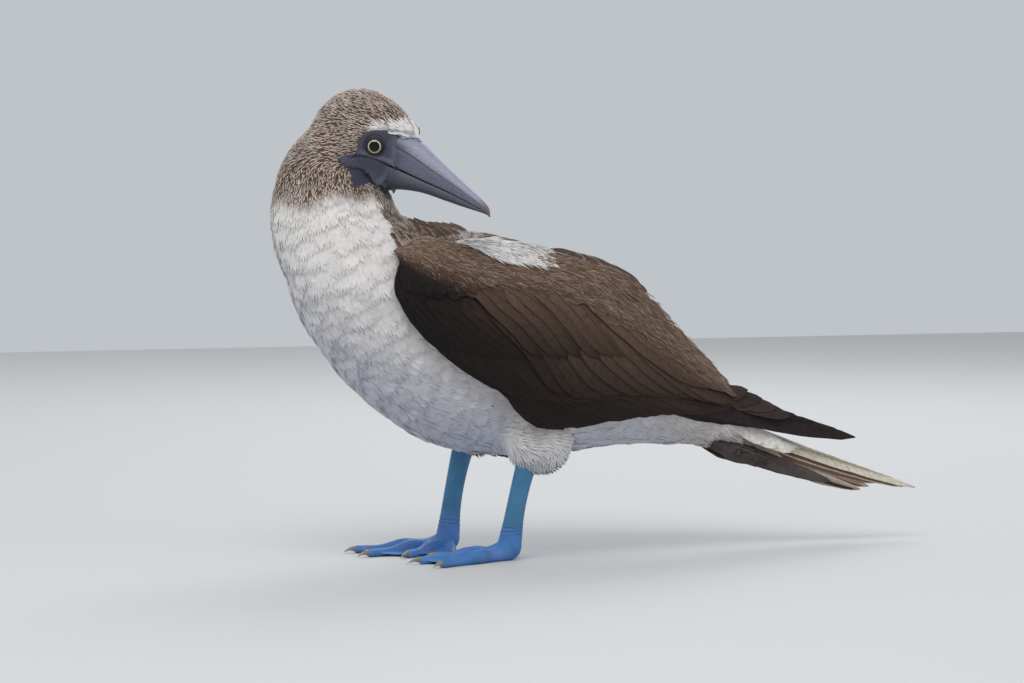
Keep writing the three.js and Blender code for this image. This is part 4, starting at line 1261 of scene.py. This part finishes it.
def faceMaterial():
    material, nodes, links, shader = newMaterial("faceSkin", 0.5)
    noise = noiseNode(nodes, links, scale=700, detail=4)
    shadeByNoise(nodes, links, tintNode(nodes).outputs["Color"], noise, 0.82, 1.18, shader)
    cells = cellsNode(nodes, links, scale=1100)
    first = bumpFrom(nodes, links, cells.outputs["Distance"], depth=0.00018, shader=shader, strength=0.5)
    bumpFrom(nodes, links, noise.outputs["Fac"], depth=0.0003, shader=shader, strength=0.5,
             before=first)
    return material


def insideDepth(flat, polygon):  # distance from a polygon's sides, negative outside it
    x, y = flat[:, 0], flat[:, 1]
    return np.where(inPolygon(x, y, polygon), 1, -1) * edgeDistance(x, y, polygon)


def makeFace():
    x = np.linspace(face["from"], face["to"], face["along"])
    angles = np.linspace(0, 2 * math.pi, face["around"], endpoint=False)
    middle, tall, half = skullAt(np.minimum(x, 17))
    ellipse = 1 / np.sqrt((np.cos(angles)[None] / half[:, None]) ** 2
                          + (np.sin(angles)[None] / tall[:, None]) ** 2)
    billMiddle, billReach = billRadius(np.maximum(x, 13), angles)
    onBill = smooth(4, 20, x)
    middle = middle * (1 - onBill) + billMiddle * onBill
    reach = ellipse * (1 - onBill)[:, None] + (billReach + face["cover"]) * onBill[:, None]
    reach = overCheek(x, angles, middle, reach)
    grid = np.stack([np.repeat(x[:, None], len(angles), axis=1), reach * np.cos(angles),
                     middle[:, None] + reach * np.sin(angles)], axis=-1)
    ahead = np.gradient(grid, axis=0)
    roundward = np.roll(grid, -1, axis=1) - np.roll(grid, 1, axis=1)
    outwards = unit(np.cross(roundward, ahead)).reshape(-1, 3)
    points = grid.reshape(-1, 3)
    flat = points[:, [0, 2]]
    if (outwards * (points - [0, 0, -8])).sum() < 0:
        outwards = -outwards
    hind = insideDepth(flat, faceEdge)
    fore = -insideDepth(flat, cheekEdge)
    fore = fore + 0.5 * ripple(points, 3, 44)
    colours = np.tile(faceTones["slate"], (len(points), 1))
    colours = blend(colours, faceTones["dark"], smooth(-10, -32, points[:, 2]) * 0.6)
    colours = blend(colours, billTones["side"], smooth(7, -1, fore) * 0.75)
    gap, over = lineDistance(flat, foldLine)
    above = smooth(0.2, 2.4, over) * smooth(6.5, 2.8, over) * smooth(27, 18, points[:, 0])
    level = 0.8 * above - 0.9 * smooth(1.3, 0, gap) - 1.2 * smooth(1.6, -0.6, fore)
    points = points + outwards * level[:, None]
    colours = blend(colours, faceTones["fold"], 0.6 * above * smooth(-10, 0, points[:, 0]))
    colours = blend(colours, faceTones["lid"], 0.7 * smooth(1.0, 0, gap))
    holes = np.zeros(len(points), bool)
    for sign in (-1, 1):
        axis, centre = eyeAxis(sign)
        offset = points - centre
        forward = offset @ axis
        radial = offset - forward[:, None] * axis
        distance = np.linalg.norm(radial, axis=1)
        near = (forward > 0) & (distance < 12)
        holes |= near & (distance < eye["opening"] - 0.6)
        spread = np.maximum(distance, eye["opening"])
        level = np.sqrt(np.maximum((eye["radius"] + 0.2) ** 2 - spread**2, 4))
        onBall = centre + unit(radial) * spread[:, None] + axis * level[:, None]
        share = smooth(eye["opening"] + 4.2, eye["opening"] + 0.5, distance) * near
        points = points * (1 - share)[:, None] + onBall * share[:, None]
        ridge = np.exp(-((distance - eye["opening"] - 1.0) / face["lidWidth"] * 1.9) ** 2) * near
        fold = np.exp(-((distance - eye["opening"] - 3.2) / 0.7) ** 2) * near
        points = points + axis * (face["lidRise"] * ridge - 0.35 * fold)[:, None]
        lid = smooth(eye["opening"] + 3.2, eye["opening"] + 1, distance) * near
        colours = blend(colours, faceTones["lid"], lid)
    index = np.arange(len(points)).reshape(len(x), len(angles))
    after = np.roll(index, -1, axis=1)
    quads = np.stack([index[:-1], after[:-1], after[1:], index[1:]], axis=-1).reshape(-1, 4)
    keep = (hind[quads] > -2.6).all(1) & (fore[quads] > -1.2).all(1) & ~holes[quads].any(1)
    quads = quads[keep]
    used = np.unique(quads)
    renumber = np.zeros(len(points), int)
    renumber[used] = np.arange(len(used))
    points, colours, outwards, quads = points[used], colours[used], outwards[used], renumber[quads]
    corner = points[quads]
    facing = np.cross(corner[:, 1] - corner[:, 0], corner[:, 2] - corner[:, 0])
    if (facing * outwards[quads[:, 0]]).sum() < 0:
        quads = quads[:, ::-1]
    piece = makePiece("faceSkin", fromHead(points), quads, [], [faceMaterial()], colours)
    wall = piece.modifiers.new("wall", "SOLIDIFY")
    wall.thickness = face["wall"] * millimetre
    wall.offset = -1
    mesh = evaluatedMesh(piece)
    piece.modifiers.remove(wall)
    piece.data = mesh
    finishPiece(piece, "face_skin", "face")
    print("face made:", len(quads), "faces")


def lineDistance(places, line):  # distance to a polyline, and signed height over it
    best = np.full(len(places), 1e9)
    height = np.zeros(len(places))
    for a, b in zip(line, line[1:]):
        a, b = np.array(a, float), np.array(b, float)
        share = np.clip(((places - a) @ (b - a)) / ((b - a) @ (b - a)), 0, 1)
        offset = places - a - share[:, None] * (b - a)
        distance = np.linalg.norm(offset, axis=1)
        closer = distance < best
        best[closer] = distance[closer]
        height[closer] = (np.sign(offset[:, 1]) * distance)[closer]
    return best, height


# The eyes.

def eyeMaterial():
    material, nodes, links, shader = newMaterial("eyeball", 0.08)
    shader.inputs["Specular IOR Level"].default_value = 0.3
    links.new(tintNode(nodes).outputs["Color"], shader.inputs["Base Color"])
    return material


eyeTones = {"pupil": tone(4, 4, 5), "iris": tone(205, 203, 168), "rim": tone(96, 96, 72),
            "white": tone(30, 31, 36)}


def makeEyes():
    heap = Heap()
    rng = np.random.default_rng(5)
    for sign in (-1, 1):
        axis, centre = eyeAxis(sign)
        side = unit(np.cross(axis, [0, 0, 1.0]))
        up = np.cross(side, axis)
        polar = np.concatenate([np.linspace(0.02, 0.78, 40), np.linspace(0.84, math.pi - 0.02, 22)])
        around = np.linspace(0, 2 * math.pi, 64, endpoint=False)
        ring = np.cos(around)[:, None] * side + np.sin(around)[:, None] * up
        forward, aside = np.cos(polar)[:, None, None], np.sin(polar)[:, None, None]
        rings = centre + eye["radius"] * (forward * axis + aside * ring[None])
        points, quads, tris = tube(rings)
        quads, tris = outward(points - centre, quads, tris)
        reach = np.linalg.norm(np.cross(points - centre, axis), axis=1)
        facing = (points - centre) @ axis > 0
        iris = smooth(eye["pupil"] - 0.12, eye["pupil"] + 0.12, reach)
        colours = blend(eyeTones["pupil"], eyeTones["iris"], iris)
        colours = colours * rng.uniform(0.92, 1.06, len(points))[:, None]
        colours = blend(colours, eyeTones["rim"], smooth(eye["opening"] - 0.5, eye["opening"] - 0.1, reach))
        colours = np.where((facing & (reach < eye["opening"] + 0.1))[:, None], colours, eyeTones["white"])
        heap.add(fromHead(points), quads, tris, colours)
    piece = heap.make("eyes", eyeMaterial())
    finishPiece(piece, "eye", "eye_left", "eye_right")


makeEyes()
print("eyes made")


# The bill.

bill = {
    "x": [13.0, 30, 50, 70, 88, 102, 110, 114],
    "culmen": [17.5, 15.8, 9.8, 3.9, -1.2, -5.2, -9, -15],
    "mouth": [-10.8, -11, -11.1, -10.8, -11.2, -12, -13, -15],
    "keel": [-35, -27.5, -22, -19.6, -17.4, -15.4, -14.4, -14.6],
    "half": [16.2, 12.4, 9.4, 7, 5.2, 3.9, 2.6, 0.9],
    "steps": 150,
}
# Half sections: share of the half width, and of the height from the mouth line to the edge.
upperHalf = [(0.82, 0), (0.97, 0.015), (1, 0.06), (1, 0.14), (0.985, 0.22), (0.955, 0.32), (0.915, 0.41),
             (0.87, 0.48), (0.835, 0.515), (0.8, 0.54), (0.812, 0.565), (0.81, 0.6), (0.76, 0.7),
             (0.64, 0.82), (0.45, 0.92), (0.23, 0.98), (0, 1)]
lowerHalf = [(0.8, 0), (0.94, 0.03), (0.99, 0.12), (0.97, 0.32), (0.9, 0.55), (0.76, 0.74), (0.55, 0.88),
             (0.28, 0.97), (0, 1)]
billTones = {"plate": tone(148, 149, 168), "side": tone(96, 99, 116), "groove": tone(46, 47, 56),
             "lower": tone(76, 79, 94), "edge": tone(122, 116, 124), "tip": tone(98, 76, 80),
             "base": tone(64, 67, 82)}


def billMaterial():
    material, nodes, links, shader = newMaterial("billHorn", 0.42)
    shader.inputs["Specular IOR Level"].default_value = 0.4
    turn = (0, -math.radians(headPose["dip"]), -math.radians(headPose["turn"]))
    fibres = noiseNode(nodes, links, scale=60, detail=6, stretch=(1, 12, 12), turn=turn)
    shadeByNoise(nodes, links, tintNode(nodes).outputs["Color"], fibres, 0.82, 1.16, shader)
    fine = noiseNode(nodes, links, scale=500, detail=5)
    first = bumpFrom(nodes, links, fibres.outputs["Fac"], depth=0.0005, shader=shader, strength=0.5)
    bumpFrom(nodes, links, fine.outputs["Fac"], depth=0.0002, shader=shader, strength=0.5,
             before=first)
    return material


def billRings(section, edge, lift):
    share = np.linspace(0, 1, bill["steps"])
    outline = np.array(section + [(-w, t) for w, t in section[-2::-1]])
    x, mouth, far, half = (along(bill[key], share) for key in ("x", "mouth", edge, "half"))
    mouth = mouth + lift
    return np.stack([
        np.repeat(x[:, None], len(outline), axis=1),
        half[:, None] * outline[None, :, 0],
        mouth[:, None] + (far - mouth)[:, None] * outline[None, :, 1],
    ], axis=-1), outline


def makeBill():
    material = billMaterial()
    for name, section, edge, lift in (("upperBill", upperHalf, "culmen", 0.15),
                                      ("lowerBill", lowerHalf, "keel", -0.15)):
        rings, outline = billRings(section, edge, lift)
        points, quads, tris = tube(rings)
        quads, tris = outward(points - points.mean(0), quads, tris)
        height = np.concatenate([np.tile(outline[:, 1], bill["steps"]), [0.5, 0.5]])
        reach = smooth(20, 46, points[:, 0])
        if edge == "culmen":
            colours = blend(billTones["side"], billTones["plate"],
                            smooth(0.54, 0.62, height) * (0.75 + 0.25 * reach))
            colours = blend(colours, billTones["groove"], np.exp(-((height - 0.54) / 0.02) ** 2) * 0.8)
            colours = blend(colours, billTones["groove"], smooth(0.06, 0.0, height))
        else:
            colours = blend(billTones["lower"], billTones["edge"], smooth(0.5, 0.12, height) * 0.45)
            colours = blend(colours, billTones["groove"], smooth(0.1, 0.0, height))
        nearFace = smooth(34, 16, points[:, 0]) * smooth(0.85, 0.6, height) * 0.9
        colours = blend(colours, billTones["base"], nearFace)
        colours = blend(colours, billTones["tip"], smooth(96, 110, points[:, 0]) * 0.75)
        piece = makePiece(name, fromHead(points), quads, tris, [material], colours)
        finishPiece(piece, "bill", "upper_bill" if edge == "culmen" else "lower_bill")


makeFace()
makeBill()
print("bill made")


# Legs, feet and claws.

legs = {
    "left": {"ankle": (35, -38), "hip": (57, -41), "toeOut": 7},
    "right": {"ankle": (8, 41), "hip": (27, 42), "toeOut": -11},
    "bottom": 15.0, "hipZ": 104.0,
    "fore": [10.2, 8.6, 8.2, 8.6, 9.6, 10.4],
    "side": [8.2, 6.7, 6.4, 6.8, 7.8, 8.8],
}
foot = {
    # for each toe: angle, length, radius at the root and length of the claw
    "toes": [(68, 31, 5.4, 7), (27, 62, 6.4, 10), (4, 80, 7, 11), (-19, 80, 6.4, 9)],
    "tip": 3.0, "press": 0.86, "rise": 1.35, "knuckle": 0.13,
    "webThick": 1.2, "webReach": 0.95, "scallop": 0.11, "voxel": 0.9, "smoothing": 5,
}
footTones = {"blue": tone(66, 124, 188), "teal": tone(66, 128, 168), "web": tone(70, 126, 190),
             "pale": tone(140, 172, 214), "lavender": tone(92, 124, 188), "footUnderShade": tone(42, 84, 140),
             "crease": tone(44, 84, 128)}
clawTones = {"root": tone(120, 118, 110), "tip": tone(170, 160, 140)}
upward = np.array([0, 0, 1.0])


def toeLine(toe, share):
    angle, length, root, _ = toe
    radius = (root + (foot["tip"] - root) * share) * (1 + foot["knuckle"] * np.cos(share * math.pi * 4))
    height = radius * foot["press"] * (foot["rise"] + (1 - foot["rise"]) * share)
    turn = math.radians(angle)
    centre = np.stack([-math.cos(turn) * length * share, math.sin(turn) * length * share, height], axis=-1)
    return centre, radius


def ringsAlong(centre, side, wide, high, tall, around):
    # rings round a line, with half widths along side and half heights along high
    angles = np.linspace(0, 2 * math.pi, around, endpoint=False)
    across = np.cos(angles)[None, :, None] * side * wide[:, None, None]
    return centre[:, None] + across + np.sin(angles)[None, :, None] * high * tall[:, None, None]


def toeTube(toe):
    centre, radius = toeLine(toe, np.linspace(0, 1, 40))
    turn = math.radians(toe[0])
    side = np.array([math.sin(turn), math.cos(turn), 0])
    rings = ringsAlong(centre, side, radius, upward, centre[:, 2] / foot["press"], 20)
    rings[..., 2] = np.maximum(rings[..., 2], 0.02)
    return tube(rings)


def webSheet(first, second):
    rows, columns = 34, 22
    across = np.linspace(0, 1, columns)[None, :]
    reach = foot["webReach"] - foot["scallop"] * np.sin(math.pi * across)
    share = 0.08 + (reach - 0.08) * np.linspace(0, 1, rows)[:, None]
    a, _ = toeLine(first, share)
    b, _ = toeLine(second, share)
    place = a * (1 - across[..., None]) + b * across[..., None]
    fold = 0.35 * np.sin(across * math.pi * 7 + share * 5) * np.sin(math.pi * across)
    height = np.maximum(place[..., 2] - 1.5 * np.sin(math.pi * across) * share,
                        foot["webThick"] / 2 + 0.05) + fold * 0.6
    half = foot["webThick"] / 2
    upper = np.concatenate([place[..., :2], (height + half)[..., None]], axis=-1)
    lower = np.concatenate([place[..., :2], np.maximum(height - half, 0.02)[..., None]], axis=-1)
    return tube(np.concatenate([upper, lower[:, ::-1]], axis=1))


def placeFoot(points, side, leg):
    turn = math.radians(leg["toeOut"] * (1 if side < 0 else -1))
    points = points * [1, -side, 1]
    spin = np.array([[math.cos(turn), -math.sin(turn), 0], [math.sin(turn), math.cos(turn), 0], [0, 0, 1]])
    return points @ spin.T + np.array([leg["ankle"][0], leg["ankle"][1], 0])


def makeFoot(name, side, material):
    leg = legs[name]
    shapes = [toeTube(toe) for toe in foot["toes"]]
    shapes += [webSheet(a, b) for a, b in zip(foot["toes"], foot["toes"][1:])]
    shapes = [(placeFoot(points, side, leg), quads, tris) for points, quads, tris in shapes]
    share = np.linspace(0, 1, 50)
    angles = np.linspace(0, 2 * math.pi, 32, endpoint=False)
    ankle, hip = np.array([*leg["ankle"], legs["bottom"]]), np.array([*leg["hip"], legs["hipZ"]])
    centre = ankle + (hip - ankle) * share[:, None]
    centre = centre - np.array([2.5, 0, 0]) * np.sin(math.pi * share)[:, None]
    fore, wide = along(legs["fore"], share), along(legs["side"], share)
    rings = ringsAlong(centre, np.array([1.0, 0, 0]), fore, np.array([0, 1.0, 0]), wide, len(angles))
    shapes.append(tube(rings))
    polar = np.linspace(0.05, math.pi - 0.05, 24)
    knob = np.stack([np.sin(polar)[:, None] * np.cos(angles)[None],
                     np.sin(polar)[:, None] * np.sin(angles)[None],
                     np.repeat(np.cos(polar)[:, None], len(angles), axis=1)], axis=-1) * [10, 8.6, 12]
    shapes.append(tube(knob + np.array([*leg["ankle"], 12.0])))
    heap = Heap()
    for points, quads, tris in shapes:
        quads, tris = outward(points - points.mean(0), quads, tris)
        heap.add(points, quads, tris, np.zeros((len(points), 3)))
    raw = heap.make("rawFoot", material)
    points, normals, tris = readMesh(smoothVoxels(raw, foot["voxel"], foot["smoothing"]))
    points[:, 2] = np.maximum(points[:, 2], 0.0)
    local = points - np.array([leg["ankle"][0], leg["ankle"][1], 0])
    shin = smooth(20, 34, points[:, 2])
    patch = smooth(-0.2, 0.8, ripple(points, 18, 91))
    colours = blend(footTones["web"], footTones["lavender"], patch)
    colours = blend(colours, footTones["blue"], smooth(0.2, 0.9, ripple(points, 30, 92)))
    colours = blend(colours, footTones["teal"],
                    shin * (0.6 + 0.4 * smooth(-0.5, 0.5, ripple(points, 24, 93))))
    ring = np.sin(points[:, 2] * 2 * math.pi / 3.1 + 1.2 * ripple(points, 9, 94))
    ring = ring * smooth(19, 23, points[:, 2]) * smooth(33, 27, points[:, 2])
    points = points + normals * (0.35 * ring)[:, None]
    colours = blend(colours, footTones["crease"], 0.6 * smooth(0, -1, ring))
    reach = np.linalg.norm(local[:, :2], axis=1)
    # the upward facing outer parts of the toes and webs are painted paler: painted highlight
    litTops = smooth(6, 2.2, points[:, 2]) * smooth(0.3, 0.8, normals[:, 2]) * smooth(50, 85, reach)
    colours = blend(colours, footTones["pale"], 0.4 * litTops)
    # feet and legs are painted darker where they face down: painted shade
    colours = blend(colours, footTones["footUnderShade"], 0.5 * smooth(0.1, -0.8, normals[:, 2]))
    piece = makePiece("foot" + name.capitalize(), points, [], tris, [material], colours)
    finishPiece(piece, "foot_skin", "leg_" + name, "foot_" + name)
    print("foot", name, len(tris), "triangles")


def footMaterial():
    material, nodes, links, shader = newMaterial("footSkin", 0.5)
    shader.inputs["Specular IOR Level"].default_value = 0.45
    blotches = noiseNode(nodes, links, scale=55, detail=4)
    shadeByNoise(nodes, links, tintNode(nodes).outputs["Color"], blotches, 0.82, 1.18, shader)
    cells = cellsNode(nodes, links, scale=620)
    first = bumpFrom(nodes, links, cells.outputs["Distance"], depth=0.0005, shader=shader, strength=0.55)
    creases = noiseNode(nodes, links, scale=240, detail=4)
    bumpFrom(nodes, links, creases.outputs["Fac"], depth=0.0006, shader=shader, strength=0.5,
             before=first)
    return material


def makeClaws():
    heap = Heap()
    around = 14
    for name, side in (("left", -1), ("right", 1)):
        for toe in foot["toes"]:
            centre, radius = toeLine(toe, np.array([1.0]))
            end, size = centre[0], radius[0] * 0.86
            turn = math.radians(toe[0])
            share = np.linspace(0, 1, 14)
            ahead = np.array([-math.cos(turn), math.sin(turn), 0])
            high = end[2] + (0.9 - end[2]) * share + 1.6 * np.sin(math.pi * share) + 0.2
            reach = -1.5 + (toe[3] + 1.8) * share
            line = end * [1, 1, 0] + ahead * reach[:, None] + upward * high[:, None]
            thick = size + (0.35 - size) * share**0.9
            sideWay = np.array([math.sin(turn), math.cos(turn), 0])
            rings = ringsAlong(line, sideWay, thick * 0.85, upward, thick, around)
            rings[..., 2] = np.maximum(rings[..., 2], 0.05)
            points, quads, tris = tube(rings)
            points = placeFoot(points, side, legs[name])
            quads, tris = outward(points - points.mean(0), quads, tris)
            shade = np.concatenate([np.repeat(share, around), [0, 1]])
            heap.add(points, quads, tris, blend(clawTones["root"], clawTones["tip"], shade))
    material, nodes, links, shader = newMaterial("clawHorn", 0.35)
    noise = noiseNode(nodes, links, scale=500, detail=4)
    shadeByNoise(nodes, links, tintNode(nodes).outputs["Color"], noise, 0.75, 1.2, shader)
    bumpFrom(nodes, links, noise.outputs["Fac"], depth=0.0002, shader=shader, strength=0.6)
    names = [f"claw_{side}_{toe}" for side in ("left", "right")
             for toe in ("hind", "inner", "middle", "outer")]
    finishPiece(heap.make("claws", material), "claw", *names)


skinOfFoot = footMaterial()
makeFoot("left", -1, skinOfFoot)
makeFoot("right", 1, skinOfFoot)
makeClaws()


# Floor and light.

studio = {"floor": 6.0, "floorTone": tone(214, 214, 214), "world": 0.58, "worldTone": (0.9, 0.95, 1.0)}
lamps = [  # name, place, aim, size, power and colour
    ("keyLight", (-1.0, -1.2, 2.3), (0, 0, 0.2), 1.5, 27, (1.0, 0.98, 0.95)),
    ("rimLight", (0.9, 1.6, 1.8), (0, 0, 0.25), 1.4, 18, (1, 1, 1)),
    ("fillLight", (1.8, -1.8, 0.9), (0, 0, 0.15), 1.6, 5, (1, 1, 1)),
]


def makeFloor():
    half = studio["floor"] / 2
    mesh = bpy.data.meshes.new("floor")
    mesh.from_pydata([(-half, -half, 0), (half, -half, 0), (half, half, 0), (-half, half, 0)], [],
                     [(0, 1, 2, 3)])
    material, _, _, shader = newMaterial("floorPaint", 0.8)
    shader.inputs["Base Color"].default_value = (*studio["floorTone"], 1)
    mesh.materials.append(material)
    floor = bpy.data.objects.new("floor", mesh)
    bpy.context.scene.collection.objects.link(floor)


def addLight(name, place, aim, size, power, colour):
    data = bpy.data.lights.new(name, "AREA")
    data.size = size
    data.energy = power
    data.color = colour
    light = bpy.data.objects.new(name, data)
    way = Vector(aim) - Vector(place)
    light.matrix_world = Matrix.Translation(place) @ way.to_track_quat("-Z", "Y").to_matrix().to_4x4()
    bpy.context.scene.collection.objects.link(light)


def lightScene():
    world = bpy.data.worlds.new("studioWorld")
    world.use_nodes = True
    background = world.node_tree.nodes["Background"]
    background.inputs["Color"].default_value = (*studio["worldTone"], 1)
    background.inputs["Strength"].default_value = studio["world"]
    bpy.context.scene.world = world
    for lamp in lamps:
        addLight(*lamp)


makeFloor()
lightScene()
bpy.context.scene.view_settings.view_transform = "Standard"
print("floor and lights placed")
